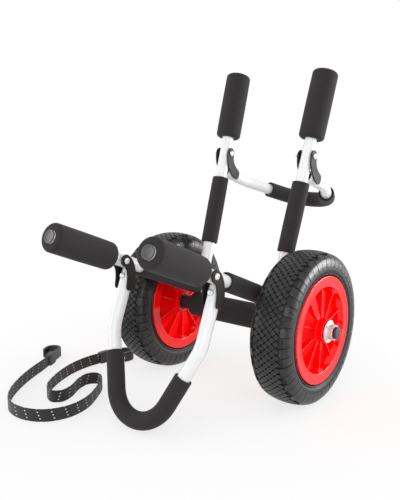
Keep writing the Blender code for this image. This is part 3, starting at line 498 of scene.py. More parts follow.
# %% [markdown]
# Turned and piped pieces
# Nearly every piece of this cart is round. Two helpers make them: one turns a profile round a
# line, as a lathe does, and the other runs rings of a stated radius along a bent line, as foam is
# pushed over a tube. Both keep the profile's own corners sharp and shade the rest smooth, so
# the highlights run clean along the tubes. A screw modifier could turn a profile too, but a mesh
# written once can be rippled for flutes without another step.

# %% Turning and piping
def closed_up(work):
    """Joins doubled vertices and turns every face outward."""
    bmesh.ops.remove_doubles(work, verts=work.verts, dist=0.000002)
    bmesh.ops.recalc_face_normals(work, faces=work.faces)


def finished(name, work, slot, body="frame", sharp=32):
    """Turns a bmesh into a piece with its finish, smooth but for edges over the sharp angle."""
    closed_up(work)
    piece = new_piece(name, work, body)
    piece.data.shade_smooth()
    piece.data.set_sharp_from_angle(angle=math.radians(sharp))
    piece.data.materials.append(FINISHES[slot])
    return piece


def aligned(origin, direction, roll_to=Vector((1, 0, 0))):
    """A matrix that puts local Z along the direction, with local X near roll_to."""
    z_axis = Vector(direction).normalized()
    x_axis = roll_to - z_axis * roll_to.dot(z_axis)
    if x_axis.length < 0.01:
        x_axis = z_axis.orthogonal()
    x_axis.normalize()
    turn = Matrix((x_axis, z_axis.cross(x_axis), z_axis)).transposed().to_4x4()
    return Matrix.Translation(origin) @ turn


def arc(centre_r, centre_z, radius, start, end, count=6):
    """Points of an arc in a profile's plane, from angle to angle in degrees."""
    angles = [math.radians(start + (end - start) * i / count) for i in range(count + 1)]
    return [(centre_r + radius * math.cos(a), centre_z + radius * math.sin(a)) for a in angles]


def add_turned(work, profile, place, steps=48, ripple=None, closed=False):
    """Turns a profile of (radius, height) round local Z. ripple changes a radius by angle."""
    rings = []
    for angle in turns(steps):
        ring = []
        for radius, height in profile:
            reach = ripple(angle, radius, height) if ripple else radius
            spot = Vector((reach * math.cos(angle), reach * math.sin(angle), height))
            ring.append(work.verts.new(place @ spot))
        rings.append(ring)
    bridge(work, rings + rings[:1], around=closed)


def turned(name, profile, place, slot, body="frame", sharp=32, **turning):
    """A piece turned from one profile. Steps, ripple and closed are the turning's own."""
    work = bmesh.new()
    add_turned(work, profile, place, **turning)
    return finished(name, work, slot, body, sharp)


def add_pipe(work, stations, normal, steps):
    """Rings along a line that lies in one plane. A station is (point, heading, radius)."""
    rings = []
    for point, heading, radius in stations:
        aside = heading.normalized().cross(normal)
        rings.append([work.verts.new(point + radius * (math.cos(a) * normal + math.sin(a) * aside))
                      for a in turns(steps)])
    bridge(work, rings)


print("turning and piping are ready")

# %% [markdown]
# The cart's own measures
# These are the sizes that the CAD model was built from, written once, so that the pieces made
# here sit exactly where the hidden CAD solids are. The two side frames mirror each other: an arm
# that rises to the front, and an upright that leans to the back.

# %% Measures of the frame
TUBE_R = 0.0125
TUBE_BORE = 0.0108
GRIP_R = 0.027
SLEEVE_R = 0.018
FOAM_BORE = TUBE_R + FIT
# The roll of a tube's edge, and of a sleeve's and a grip's cut end
TUBE_EDGE = 0.0005
SLEEVE_ROUND = 0.0022
GRIP_ROUND = 0.0075
ARM_RISE = math.radians(21.8)
ARM_SPLAY = math.radians(2.5)
ARM_LENGTH = 0.4350
ARM_TAIL = 0.028
ARM_BOLT = 0.2610
ARM_SLEEVE_END = 0.2040
ARM_GRIP_START = 0.2890
UPRIGHT_LEAN = math.radians(18.6)
UPRIGHT_SPLAY = math.radians(1.75)
UPRIGHT_LENGTH = 0.4800
UPRIGHT_BOLT = 0.3075
UPRIGHT_SLEEVE = (0.1010, 0.2500)
UPRIGHT_GRIP_START = 0.3440
GRIP_TOP = 0.011
SIDES = (("left", -1), ("right", 1))
ALONG_X = Vector((1, 0, 0))
ARM_UP = Vector((0, math.sin(ARM_RISE), math.cos(ARM_RISE)))
ARM_FORE = Vector((0, -math.cos(ARM_RISE), math.sin(ARM_RISE)))


def arm_direction(side):
    level = math.cos(ARM_SPLAY)
    return Vector((side * math.sin(ARM_SPLAY),
                   -level * math.cos(ARM_RISE), level * math.sin(ARM_RISE)))


def upright_direction(side):
    level = math.cos(UPRIGHT_SPLAY)
    return Vector((side * math.sin(UPRIGHT_SPLAY),
                   level * math.sin(UPRIGHT_LEAN), level * math.cos(UPRIGHT_LEAN)))


def corner(side):
    """Where an upright's axis meets its arm's axis."""
    return AXLE + ALONG_X * side * 0.0955 + ARM_UP * 0.0393 + ARM_FORE * 0.0047


def arm_point(side, distance):
    return corner(side) + arm_direction(side) * distance


def upright_point(side, distance):
    return corner(side) + upright_direction(side) * distance


print(f"right corner at {tuple(round(v, 4) for v in corner(1))}")

# %% [markdown]
# Side frames
# Each side is two lengths of 25 mm steel tube, one welded on top of the other. The tubes are
# turned with rolled ends and an open bore. A weld is a bead of metal that froze in ripples, so it
# is a thin ring along the line where the two tubes meet, found by walking down the upright until
# it touches the arm, and its radius swells and shrinks along the way.

# %% Tubes and weld beads
def tube_profile(length):
    """An open tube, turned: from its lower mouth up the outside and back down into the bore."""
    mouth = [(TUBE_BORE, 0.03), (TUBE_BORE, TUBE_EDGE), (TUBE_BORE + TUBE_EDGE, 0),
             (TUBE_R - TUBE_EDGE, 0), (TUBE_R, TUBE_EDGE)]
    return mouth + [(TUBE_R, length * 0.5)] + [(r, length - h) for r, h in reversed(mouth)]


def weld_line(side, steps):
    """Points round the upright's foot where it meets the arm, each with its outward direction."""
    post, arm = upright_direction(side), arm_direction(side)
    facing = aligned(corner(side), post).to_3x3()
    line = []
    for angle in turns(steps):
        outward = facing @ Vector((math.cos(angle), math.sin(angle), 0))
        height = 0.03
        # Down the upright in steps of 0.2 mm
        while height > -0.01:
            offset = outward * TUBE_R + post * height
            if (offset - arm * offset.dot(arm)).length <= TUBE_R:
                break
            height -= 0.0002
        line.append((corner(side) + offset, outward))
    return line


def add_weld(work, side, steps=72):
    rings = []
    line = weld_line(side, steps)
    for k, (point, outward) in enumerate(line):
        ahead = (line[(k + 1) % steps][0] - line[k - 1][0]).normalized()
        swell = 0.0021 + 0.00035 * math.sin(k * 2 * math.pi / 4)
        other = ahead.cross(outward).normalized()
        rings.append([work.verts.new(point + swell * (math.cos(a) * outward + math.sin(a) * other))
                      for a in turns(10)])
    bridge(work, rings + rings[:1])


for label, side in SIDES:
    arm, post = arm_direction(side), upright_direction(side)
    work = bmesh.new()
    add_turned(work, tube_profile(ARM_LENGTH + ARM_TAIL), aligned(arm_point(side, -ARM_TAIL), arm))
    add_turned(work, tube_profile(UPRIGHT_LENGTH), aligned(corner(side), post))
    add_weld(work, side)
    tubes = finished(f"tubes_{label}", work, "tube_white")
    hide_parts(f"frame_{label}")
    print(f"{tubes.name}: {len(tubes.data.polygons)} faces")

# %% [markdown]
# Foam grips and sleeves
# Thick foam grips cover the ends of the arms and uprights, where the board leans, and thinner
# sleeves cover the tubes between. Foam is cut from a long tube and its edges are rounded by the
# heat of the cut, so each is a turned profile with a soft shoulder. The grips swell by a
# fraction of a millimetre along their length, as foam does when it is pushed over a tube that is
# a little too thick for it, and no cloth simulation is needed for that.

# %% Grips and sleeves
def foam_profile(radius, length, round_end, bore=FOAM_BORE, blind=False):
    """Foam on a tube: its lower mouth, its side with a slight swell, and its top."""
    edge = radius - round_end
    lip = min(0.0012, edge - bore)
    foot = [(bore, 0.004), (bore, 0.0010), (bore + lip, 0.0)] + arc(edge, round_end, round_end, -90, 0, 8)
    side = [(radius + 0.0003 * math.sin(math.pi * i / 12), round_end + (length - 2 * round_end) * i / 12)
            for i in range(1, 12)]
    top = arc(edge, length - round_end, round_end, 0, 90, 8)
    if blind:
        return foot + side + top + [(edge * 0.5, length + 0.0002), (0, length + 0.0003)]
    return foot + side + top + [(bore + lip, length), (bore, length - 0.0010), (bore, length - 0.004)]


def add_foam(name, node, profile, place):
    foam = turned(name, profile, place, "foam_black", steps=56)
    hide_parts(node)


TILT = ARM_RISE - UPRIGHT_LEAN
SLEEVE_FOOT = TUBE_R / math.cos(TILT) + SLEEVE_R * math.tan(TILT) + 0.0006
for label, side in SIDES:
    arm, post = arm_direction(side), upright_direction(side)
    add_foam(f"grip_arm_{label}", f"arm_grip_{label}",
             foam_profile(GRIP_R, ARM_LENGTH - ARM_GRIP_START, GRIP_ROUND),
             aligned(arm_point(side, ARM_GRIP_START), arm))
    add_foam(f"grip_top_{label}", f"top_grip_{label}",
             foam_profile(GRIP_R, UPRIGHT_LENGTH + GRIP_TOP - UPRIGHT_GRIP_START, GRIP_ROUND, blind=True),
             aligned(upright_point(side, UPRIGHT_GRIP_START), post))
    add_foam(f"sleeve_arm_{label}", f"arm_sleeve_{label}",
             foam_profile(SLEEVE_R, ARM_SLEEVE_END - SLEEVE_FOOT, SLEEVE_ROUND),
             aligned(arm_point(side, SLEEVE_FOOT), arm))
    add_foam(f"sleeve_upright_{label}", f"upright_sleeve_{label}",
             foam_profile(SLEEVE_R, UPRIGHT_SLEEVE[1] - UPRIGHT_SLEEVE[0], SLEEVE_ROUND),
             aligned(upright_point(side, UPRIGHT_SLEEVE[0]), post))
add_foam("foam_on_axle", "axle_foam", foam_profile(0.0265, 0.210, 0.0030),
         aligned(AXLE - ALONG_X * 0.105, ALONG_X))
print("nine pieces of foam on the frame")

# %% [markdown]
# Tube caps and plugs
# A moulded cap closes the front end of each arm, inside its grip. It has a shallow dish with a
# rounded rim, which is what catches the light. The tail of each arm has a thinner black plug.

# %% Caps and plugs
CAP = [(0.0075, -0.016), (0.0090, -0.015), (0.0102, FIT), (0.0121, FIT), (0.0126, 0.0008)]
CAP += arc(0.0114, 0.0018, 0.0012, 0, 90, 4)
CAP += [(0.0098, 0.0029), (0.0092, 0.0026), (0.0086, 0.0023), (0.0045, 0.0022), (0, 0.0022)]
TAIL_PLUG = [(0.0098, -0.008), (0.0104, FIT), (0.0125, FIT), (0.0125, 0.0012), (0.0117, 0.0020),
             (0.0100, 0.0022), (0, 0.0022)]
for label, side in SIDES:
    arm = arm_direction(side)
    piece = turned(f"cap_{label}", CAP, aligned(arm_point(side, ARM_LENGTH), arm), "cap_grey")
    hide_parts(f"arm_cap_{label}")
    plug = turned(f"tail_{label}", TAIL_PLUG, aligned(arm_point(side, -ARM_TAIL), -arm), "plastic_black")
    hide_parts(f"tail_plug_{label}")
print("caps and tail plugs")

# %% [markdown]
# The tyre
# A fat air tyre has a rounded body and separate rubber blocks on it. A height map on one grid
# would need hundreds of thousands of faces to keep the blocks' corners crisp. Here the body is
# turned once, and each block is a small pad of its own, set on the body by its distance round
# the tyre and its distance across, so it follows the curve. Diamonds with cut tips cover the
# crown in staggered rows, which leaves a small pit where four tips meet. Pairs of larger lugs
# wrap over each shoulder and run down the side wall. A mesh attribute marks what is raised.

# %% Tyre body
TREAD_RADIUS = 0.1530
WHEEL_STEPS = 120
BODY_HALF = [(0.0352, 0.1080), (0.0374, 0.1090), (0.0392, 0.1104), (0.0394, 0.1118), (0.0378, 0.1128),
             (0.0386, 0.1144), (0.0402, 0.1168), (0.0408, 0.1205), (0.0405, 0.1260), (0.0393, 0.1322),
             (0.0370, 0.1382), (0.0333, 0.1430), (0.0272, 0.1458), (0.0190, 0.1475), (0.0110, 0.1485)]
half_body = [Vector(point) for point in BODY_HALF] + [Vector((0, 0.1490))]
body_line = half_body + [Vector((-x, r)) for x, r in reversed(half_body[:-1])]
body_line = smooth_route(body_line, 3)
crown = min(range(len(body_line)), key=lambda i: abs(body_line[i].x))
reach = [0.0]
for here, there in zip(body_line[crown::-1], body_line[crown - 1::-1]):
    reach.append(reach[-1] + (there - here).length)


def on_tyre(across, around, height):
    """A point on the tyre: distance across its body from the crown, distance round, and height."""
    side = 1 if across >= 0 else -1
    target = min(abs(across), reach[-1] - 0.0001)
    i = max(k for k in range(len(reach) - 1) if reach[k] <= target)
    here, there = body_line[crown - i], body_line[crown - i - 1]
    share = (target - reach[i]) / (reach[i + 1] - reach[i])
    slope = (there - here).normalized()
    point = here + (there - here) * share + slope.orthogonal() * height
    angle = around / TREAD_RADIUS
    return Vector((side * point.x, point.y * math.cos(angle), point.y * math.sin(angle)))


print(f"the body is {2 * reach[-1] * 1000:.0f} mm round its section")


# %% Tread blocks
def add_pad(work, rows, heights, centre, draft, chamfer=0.0005):
    """A raised pad on the tyre's body. rows is a grid of (across, around) points of its top."""
    raised = work.verts.layers.float["raised"]
    count, columns = len(rows), len(rows[0])
    points = [Vector(point) for row in rows for point in row]
    middle = sum(points, Vector((0, 0))) / len(points)

    def placed(point, grow, height, level):
        spread = middle + (Vector(point) - middle) * grow
        vert = work.verts.new(centre + on_tyre(spread.x, spread.y, height))
        vert[raised] = level
        return vert

    inset = 1 - chamfer / max((point - middle).length for point in points)
    grid = [[placed(point, inset, height, 1.0) for point in row] for row, height in zip(rows, heights)]
    bridge(work, grid, around=False)
    border = [(0, k) for k in range(columns)] + [(i, columns - 1) for i in range(1, count)]
    border += [(count - 1, k) for k in range(columns - 2, -1, -1)] + [(i, 0) for i in range(count - 2, 0, -1)]
    upper = [grid[i][k] for i, k in border]
    # The raised level falls from the top to 0 at the pad's foot, and the rubber's colour paints what lies low
    # darker, as shade
    edge = [placed(rows[i][k], 1.0, heights[i] - chamfer, 0.8) for i, k in border]
    lower = [placed(rows[i][k], draft, -0.0004, 0.0) for i, k in border]
    bridge(work, (edge, upper))
    bridge(work, (lower, edge))


SHOULDER_LUGS = 24
LUG_PITCH = 2 * math.pi * TREAD_RADIUS / SHOULDER_LUGS
DIAMOND_PITCH = LUG_PITCH / 3
ROW_PITCH = 0.0072
BLOCK_HEIGHT = 0.0037
DIAMOND_WIDE, DIAMOND_LONG, DIAMOND_CUT = 0.0067, 0.0061, 0.0013
# A shoulder lug's outline: distance across from the crown, share of its width, and height
LUG_OUTLINE = [(0.0272, 0.80, 0.0036), (0.0325, 0.97, 0.0035), (0.0370, 1.0, 0.0030), (0.0410, 1.0, 0.0024),
               (0.0460, 0.99, 0.0017), (0.0510, 0.97, 0.0011), (0.0550, 0.90, 0.0007)]


def diamond(s, t):
    """A diamond block with its four tips cut off, as four rows of two points."""
    tip = DIAMOND_WIDE * (1 - DIAMOND_CUT / DIAMOND_LONG)
    waist = DIAMOND_LONG * (1 - DIAMOND_CUT / DIAMOND_WIDE)
    spans = ((-tip, DIAMOND_CUT), (-DIAMOND_CUT, waist), (DIAMOND_CUT, waist), (tip, DIAMOND_CUT))
    return [[(s + across, t - half), (s + across, t + half)] for across, half in spans]


def make_tyre(label, side):
    work = bmesh.new()
    work.verts.layers.float.new("raised")
    centre = AXLE + ALONG_X * side * WHEEL_X
    add_turned(work, [(point.y, point.x) for point in body_line], aligned(centre, ALONG_X), WHEEL_STEPS)
    for row in range(-3, 4):
        for k in range(SHOULDER_LUGS * 3):
            block = diamond(row * ROW_PITCH, (k + 0.5 * (row % 2)) * DIAMOND_PITCH)
            add_pad(work, block, [BLOCK_HEIGHT - 0.00005 * abs(row)] * 4, centre, 1.05)
    half = LUG_PITCH * 0.235
    for turn in (-1, 1):
        stagger = 0.25 if turn < 0 else 0.0
        for k in range(SHOULDER_LUGS * 2):
            # Lugs come in pairs, with a thin slot within a pair and a wide one between pairs
            mid = (k / 2 + (0.245 if k % 2 else 0.255) + stagger) * LUG_PITCH
            outline = LUG_OUTLINE[k % 2:]
            rows = [[(turn * s, mid - half * w), (turn * s, mid + half * w)] for s, w, h in outline]
            add_pad(work, rows, [h for s, w, h in outline], centre, 1.03, chamfer=0.0004)
    return finished(f"tyre_tread_{label}", work, "tyre_black", f"wheel_{label}", 28)


for label, side in SIDES:
    tyre = make_tyre(label, side)
    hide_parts(f"tyre_{label}")
    print(f"{tyre.name}: {len(tyre.data.polygons)} faces")

# %% [markdown]
# Rims
# Each rim is two mouldings, bolted back to back, with the same face on both sides of the wheel:
# a broad, nearly flat ring with a rounded lip, and a web stiffened by ten thin ribs that run from
# the hub to the ring. The ribs' tops lie level below the ring, while the web sinks towards its
# edge, so the pockets between them grow deeper outwards. The face is turned in 120 steps for
# clean reflections, and the ribs are tapered bars set into it, as the mould's draft leaves them.

# %% Rim halves
RIB_TOP = 0.0343
RIB_COUNT = 10
RIM_FACE = [(0.0945, 0.002), (0.0995, 0.002), (0.0995, 0.0352), (0.1068, 0.0358)]
RIM_FACE += arc(0.1054, 0.0387, 0.0018, 0, 90, 6) + [(0.1030, 0.0405), (0.1010, 0.0402), (0.0960, 0.0397)]
RIM_FACE += [(0.0880, 0.0396)] + arc(0.0871, 0.0384, 0.0013, 80, 180, 6)
RIM_FACE += [(0.0834, 0.0300)] + arc(0.0794, 0.0262, 0.0022, 0, -80, 4)
RIM_FACE += [(0.0600, 0.0272), (0.0400, 0.0301)] + arc(0.0252, 0.0348, 0.0020, -100, -180, 4)
RIM_FACE += [(0.0231, 0.0400)]


def pointed(angle, radius, height):
    """Draws the wall's foot in beside each rib, so that a pocket's outer end is a blunt point."""
    if 0.0760 < radius < 0.0845 and height < 0.0340:
        return radius - 0.0048 * (0.5 + 0.5 * math.cos(RIB_COUNT * angle))
    return radius


def add_rib(work, place, angle):
    """A thin bar from the hub to the dish, wider at its root than along its top."""
    turn = place @ Matrix.Rotation(angle, 4, "Z")
    half = [(0.0008, 1.0), (0.0011, 0.97), (0.0012, 0.0)]
    section = [(-y, share) for y, share in reversed(half)] + half
    rings = []
    for radius, floor in ((0.0215, 0.0300), (0.0400, 0.0280), (0.0620, 0.0250), (0.0862, 0.0230)):
        rings.append([work.verts.new(turn @ Vector((radius, y, floor + (RIB_TOP - floor) * share)))
                      for y, share in section])
    bridge(work, rings, around=False)


def make_rim_half(label, side, name):
    """One moulding. The outer half faces away from the cart and has the longer hub."""
    hub, facing = (0.0480, side) if name == "outer" else (0.0395, -side)
    face = RIM_FACE + [(0.0231, hub - 0.0008), (0.0223, hub), (0.0190, hub), (0.0186, hub - 0.0004),
                       (0.0158, hub - 0.0004), (0.0158, hub - 0.020)]
    place = aligned(AXLE + ALONG_X * side * WHEEL_X, ALONG_X * facing, Vector((0, 0, 1)))
    work = bmesh.new()
    add_turned(work, face, place, WHEEL_STEPS, pointed)
    for angle in turns(RIB_COUNT):
        add_rib(work, place, angle)
    rim = finished(f"rim_{name}_face_{label}", work, "rim_red", f"wheel_{label}", 28)
    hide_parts(f"rim_{name}_{label}")
    return rim


for label, side in SIDES:
    for name in ("outer", "inner"):
        rim = make_rim_half(label, side, name)
        print(f"{rim.name}: {len(rim.data.polygons)} faces")

# %% [markdown]
# Collars, plugs and spacers
# A zinc collar slides on the axle and keeps each wheel on. It has a drilled flange and a nose
# with shallow flutes, which are a ripple in the turned radius. The holes are cut with a Boolean
# modifier, since a turned mesh has no place for them, and the result is written back to the
# mesh. A black plug closes the axle's end, and a plain spacer keeps the wheel off the foam.

# %% Collars
COLLAR_START = 0.22385
PLUG_START = 0.23755
HOLE_CIRCLE, HOLE_R = 0.0185, 0.0019
COLLAR = [(0.0128, 0.0004), (0.0132, 0.0), (0.0214, 0.0), (0.0220, 0.0005), (0.0220, 0.0016),
          (0.0215, 0.0020), (0.0158, 0.0020), (0.0151, 0.0024), (0.0150, 0.0034), (0.0150, 0.0038),
          (0.0150, 0.0130), (0.0150, 0.0134), (0.0142, 0.0140), (0.0132, 0.0140), (0.0128, 0.0136)]
AXLE_PLUG = [(0.0095, -0.012), (0.0095, FIT), (0.0118, FIT), (0.0120, 0.0008), (0.0120, 0.0045)]
AXLE_PLUG += arc(0.0100, 0.0046, 0.0020, 0, 90, 5) + [(0, 0.0068)]


def fluted(angle, radius, height):
    """Eighteen shallow flutes round the nose of a collar."""
    if 0.0142 < radius < 0.0151 and 0.0035 < height < 0.0135:
        return radius - 0.0007 * max(0.0, math.cos(18 * angle))
    return radius


def drill(piece, places, radius, depth):
    """Cuts round holes along each place's local Z and writes the result to the piece's mesh."""
    work = bmesh.new()
    for place in places:
        add_turned(work, [(0, -depth), (radius, -depth), (radius, depth), (0, depth)], place, 20)
    closed_up(work)
    tool = mesh_object("drill", work)
    cutter = piece.modifiers.new("holes", "BOOLEAN")
    cutter.object = tool
    cutter.operation = "DIFFERENCE"
    cutter.solver = "EXACT"
    bpy.context.view_layer.update()
    cut = bpy.data.meshes.new_from_object(piece.evaluated_get(bpy.context.evaluated_depsgraph_get()))
    piece.modifiers.clear()
    piece.data = cut
    bpy.data.objects.remove(tool)


for label, side in SIDES:
    outward = ALONG_X * side
    place = aligned(AXLE + outward * COLLAR_START, outward, Vector((0, 0, 1)))
    collar = turned(f"collar_{label}", COLLAR, place, "zinc", steps=72, ripple=fluted, closed=True)
    holes = [place @ Matrix.Rotation(math.pi / 4 + angle, 4, "Z") @ Matrix.Translation((HOLE_CIRCLE, 0, 0))
             for angle in turns(4)]
    drill(collar, holes, HOLE_R, 0.005)
    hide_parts(f"wheel_collar_{label}")
    plug = turned(f"plug_{label}", AXLE_PLUG, aligned(AXLE + outward * PLUG_START, outward), "plastic_black")
    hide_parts(f"axle_plug_{label}")
    low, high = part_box(f"axle_spacer_{label}")
    length = high.x - low.x
    ring = [(0.0128, 0.0), (0.0146, 0.0), (0.0150, 0.0004),
            (0.0150, length - 0.0004), (0.0146, length), (0.0128, length)]
    spacer = turned(f"spacer_{label}", ring, aligned(Vector((low.x, AXLE.y, AXLE.z)), ALONG_X),
                    "plastic_black", closed=True)
    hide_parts(f"axle_spacer_{label}")
    print(f"{collar.name}: {len(collar.data.polygons)} faces")

# %% [markdown]
# Folding bars
# The kickstand and the rear bar are the same bent tube at two lengths: parallel legs that draw in
# and close in a half round, with foam on the bend. The line is worked out from the same few
# sizes as the CAD model's, with more points, and the tube and its foam are rings along it. The
# tube's legs are open at their ends, where the brackets hold them.

# %% Bent bars
U_RADIUS = 0.067
U_TAPER = math.radians(22.0)
U_BEND = 0.090
LEG_END = TUBE_R + FIT
# Where the brackets hold each bar's legs, as (along the tube from the pivot, away from its axis)
STAND_LOBE = Vector((0.0305, 0.0405))
REAR_LOBE = Vector((0.0385, 0.0365))


def half_u(half_width, reach, start):
    """The right half of a bar's centreline, without its middle, as (across, along) pairs."""
    slant_x = U_RADIUS * math.cos(U_TAPER)
    slant_d = reach - U_RADIUS + U_RADIUS * math.sin(U_TAPER)
    meet_d = slant_d - (half_width - slant_x) / math.tan(U_TAPER)
    side = []
    if start < meet_d:
        tangent = U_BEND * math.tan(U_TAPER / 2)
        side.append((half_width, start))
        for angle in (U_TAPER * i / 6 for i in range(7)):
            side.append((half_width - U_BEND * (1 - math.cos(angle)),
                         meet_d - tangent + U_BEND * math.sin(angle)))
    else:
        side.append((slant_x + (slant_d - start) * math.tan(U_TAPER), start))
    for i in range(16):
        angle = U_TAPER + (math.pi / 2 - U_TAPER) * i / 16
        side.append((U_RADIUS * math.cos(angle), reach - U_RADIUS + U_RADIUS * math.sin(angle)))
    return side


def u_line(half_width, reach, right_start, left_start):
    """A bar's centreline from one leg's end to the other, as (across, along) pairs."""
    left = half_u(half_width, reach, left_start)
    return half_u(half_width, reach, right_start) + [(0, reach)] + [(-x, d) for x, d in reversed(left)]


def headed(points):
    """Points with their headings."""
    last = len(points) - 1
    return [(point, (points[min(i + 1, last)] - points[max(i - 1, 0)]).normalized())
            for i, point in enumerate(points)]


def with_ends(stations, radius, end):
    """Gives a line both its ends. An end is (distance inwards, radius) pairs, from the bore outwards."""
    (first, start), (last, stop) = stations[0], stations[-1]
    made = [(first + start * d, start, r) for d, r in end]
    made += [(point, heading, radius) for point, heading in stations[1:-1]]
    return made + [(last - stop * d, stop, r) for d, r in reversed(end)]


def foam_end(radius):
    """The rounded end of a foam sleeve of that radius."""
    curve = arc(radius - SLEEVE_ROUND, SLEEVE_ROUND, SLEEVE_ROUND, -90, 0, 5)
    return [(0.004, FOAM_BORE)] + [(d, r) for r, d in curve]


UPRIGHT_DOWN = Vector((0, -math.sin(UPRIGHT_LEAN), -math.cos(UPRIGHT_LEAN)))
UPRIGHT_BACK = Vector((0, math.cos(UPRIGHT_LEAN), -math.sin(UPRIGHT_LEAN)))
# The kickstand's centreline ends this high above the floor, and its foam just touches the floor
FOOT_HEIGHT = 0.0169
leg_top = arm_point(1, ARM_BOLT).z - STAND_LOBE.x * math.sin(ARM_RISE)
FRONT_REACH = (leg_top - FOOT_HEIGHT) / math.cos(ARM_RISE)
# Each bar's pivot, its two directions, its lobe and its reach
BARS = {
    "front_stand": (arm_point(1, ARM_BOLT), -ARM_FORE, -ARM_UP, STAND_LOBE, FRONT_REACH),
    "rear_bar": (upright_point(1, UPRIGHT_BOLT), UPRIGHT_DOWN, UPRIGHT_BACK, REAR_LOBE, 0.2475),
}
# How far each bar's foam reaches up its right and left legs, and the foam's radius. The kickstand's
# foam has slipped a little towards the left.
BAR_FOAM = {"front_stand": (0.096, 0.109, FOOT_HEIGHT), "rear_bar": (0.080, 0.080, SLEEVE_R)}

TUBE_END = [(0.05, TUBE_BORE), (0, TUBE_BORE + TUBE_EDGE), (0, TUBE_R - TUBE_EDGE), (TUBE_EDGE, TUBE_R)]


def make_bar_piece(kind, name, slot, starts, radius, end, steps):
    """A tube or a sleeve along a bar's line, from where it starts on the right and the left leg."""
    pivot, along_tube, away, lobe, reach = BARS[kind]
    origin = Vector((0, pivot.y, pivot.z)) + along_tube * lobe.x
    line = [origin + away * d + ALONG_X * x for x, d in u_line(pivot.x, reach, *starts)]
    work = bmesh.new()
    add_pipe(work, with_ends(headed(line), radius, end), along_tube, steps)
    return finished(f"{kind}_{name}", work, slot, kind)


for kind, (right, left, foam_r) in BAR_FOAM.items():
    reach_end = BARS[kind][4]
    tube = make_bar_piece(kind, "tube", "tube_white", (LEG_END, LEG_END), TUBE_R, TUBE_END, 32)
    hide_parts(f"{kind}_bar")
    foam = make_bar_piece(kind, "sleeve", "foam_black", (reach_end - right, reach_end - left), foam_r,
                          foam_end(foam_r), 40)
    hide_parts(f"{kind}_foam")
    print(f"{kind}: reach {reach_end:.4f} m")

# %% [markdown]
# Brackets
# Each bar hangs in a pair of dog-leg plates. The plate's edge is an outline of changing width
# along a bent line, wide at the bolt and at the lower lobe and slim between them. The
# kickstand's plates end nearly square and the rear bar's are round. The edge is drawn with many
# points and given a small chamfer all round, because a painted edge without one catches no light
# and looks cut from paper.

# %% Bracket plates
PLATE = 0.003
PLATE_PITCH = TUBE_R + 0.0016 + PLATE / 2
LOWER_END = {"front_stand": 0.55, "rear_bar": 1.0}


def blend(values, t):
    """A smooth way from the first of three values to the last, drawn towards the middle one."""
    return values[0] * (1 - t) ** 2 + values[1] * 2 * t * (1 - t) + values[2] * t ** 2


def bracket_outline(lobe, lower_power, count=14):
    """The plate's edge round three circles. A power below 1 squares the lower end."""
    centres = (Vector((0, 0)), Vector((lobe.x * 0.72, 0.0030)), lobe)
    radii = (0.0122, 0.0108, 0.0118)
    spine = []
    for t in (i / count for i in range(count + 1)):
        slope = (centres[1] - centres[0]) * 2 * (1 - t) + (centres[2] - centres[1]) * 2 * t
        spine.append((blend(centres, t), slope.normalized(), blend(radii, t)))
    left = [point + slope.orthogonal() * width for point, slope, width in spine]
    right = [point - slope.orthogonal() * width for point, slope, width in spine]
    ends = []
    for (point, slope, width), way, power in ((spine[-1], 1, lower_power), (spine[0], -1, 1.0)):
        end = []
        for angle in (math.pi * k / count for k in range(1, count)):
            c, s = math.cos(angle), math.sin(angle)
            aside = math.copysign(abs(c) ** power, c)
            end.append(point + way * width * (slope * s ** power + slope.orthogonal() * aside))
        ends.append(end)
    return left + ends[0] + right[::-1] + ends[1]


def add_plate(work, outline, thickness, place, chamfer=0.0006):
    """A flat plate with chamfered edges."""
    before, after = outline[-1:] + outline[:-1], outline[1:] + outline[:1]
    normals = [-(q - p).orthogonal().normalized() for p, q in zip(before, after)]
    if sum(p.cross(q) for p, q in zip(outline, after)) < 0:
        normals = [-n for n in normals]
    half = thickness / 2
    rings = []
    for height, inset in ((-half, chamfer), (-half + chamfer, 0), (half - chamfer, 0), (half, chamfer)):
        rings.append([work.verts.new(place @ Vector((*(p - n * inset), height)))
                      for p, n in zip(outline, normals)])
    bridge(work, rings, caps=True)


def on_leg(kind, side, along=0.0, off=0.0):
    """A point by a bar's leg, from its pivot: along the tube that it hangs on, and off that tube."""
    pivot, along_tube, away = BARS[kind][:3]
    return Vector((side * pivot.x, pivot.y, pivot.z)) + along_tube * along + away * off


def make_bracket(kind, label, side):
    """Two plates with a pressed boss on each, and the pin between their lower lobes."""
    along_tube, away, lobe = BARS[kind][1:4]
    outline = bracket_outline(lobe, LOWER_END[kind])
    facing = Matrix((along_tube, away, along_tube.cross(away))).transposed().to_4x4()
    work = bmesh.new()
    for turn in (-1, 1):
        sideways = ALONG_X * turn
        place = Matrix.Translation(on_leg(kind, side) + sideways * PLATE_PITCH) @ facing
        add_plate(work, outline, PLATE, place)
        add_turned(work, [(0.0035, 0), (0.0058, 0), (0.00625, 0.0004), (0.00625, 0.003)],
                   aligned(on_leg(kind, side) + sideways * (TUBE_R + FIT), sideways), 28)
    add_turned(work, [(0.004, -PLATE_PITCH), (0.004, PLATE_PITCH)],
               aligned(on_leg(kind, side, lobe.x, lobe.y), ALONG_X), 24)
    bracket = finished(f"{kind}_clevis_{label}", work, "bracket_black", kind, 40)
    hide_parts(f"{kind}_bracket_{label}")
    return bracket


for kind in BARS:
    for label, side in SIDES:
        bracket = make_bracket(kind, label, side)
        print(f"{bracket.name}: {len(bracket.data.polygons)} faces")

# %% [markdown]
# Bolts, nuts and screws
# A button-head bolt goes through each bracket, with its head on the right and its nut on the
# left, and a dome-head screw stands in the front of each kickstand leg. The heads are turned domes
# with a six-sided socket pressed into the bolt's. The nuts are hexagons with the corners of
# their faces turned off, which is what makes a nut look like one.

# %% Fasteners
def hexagon(width):
    radius = width / 2 / math.cos(math.pi / 6)
    return [Vector((radius * math.cos(angle), radius * math.sin(angle))) for angle in turns(6)]


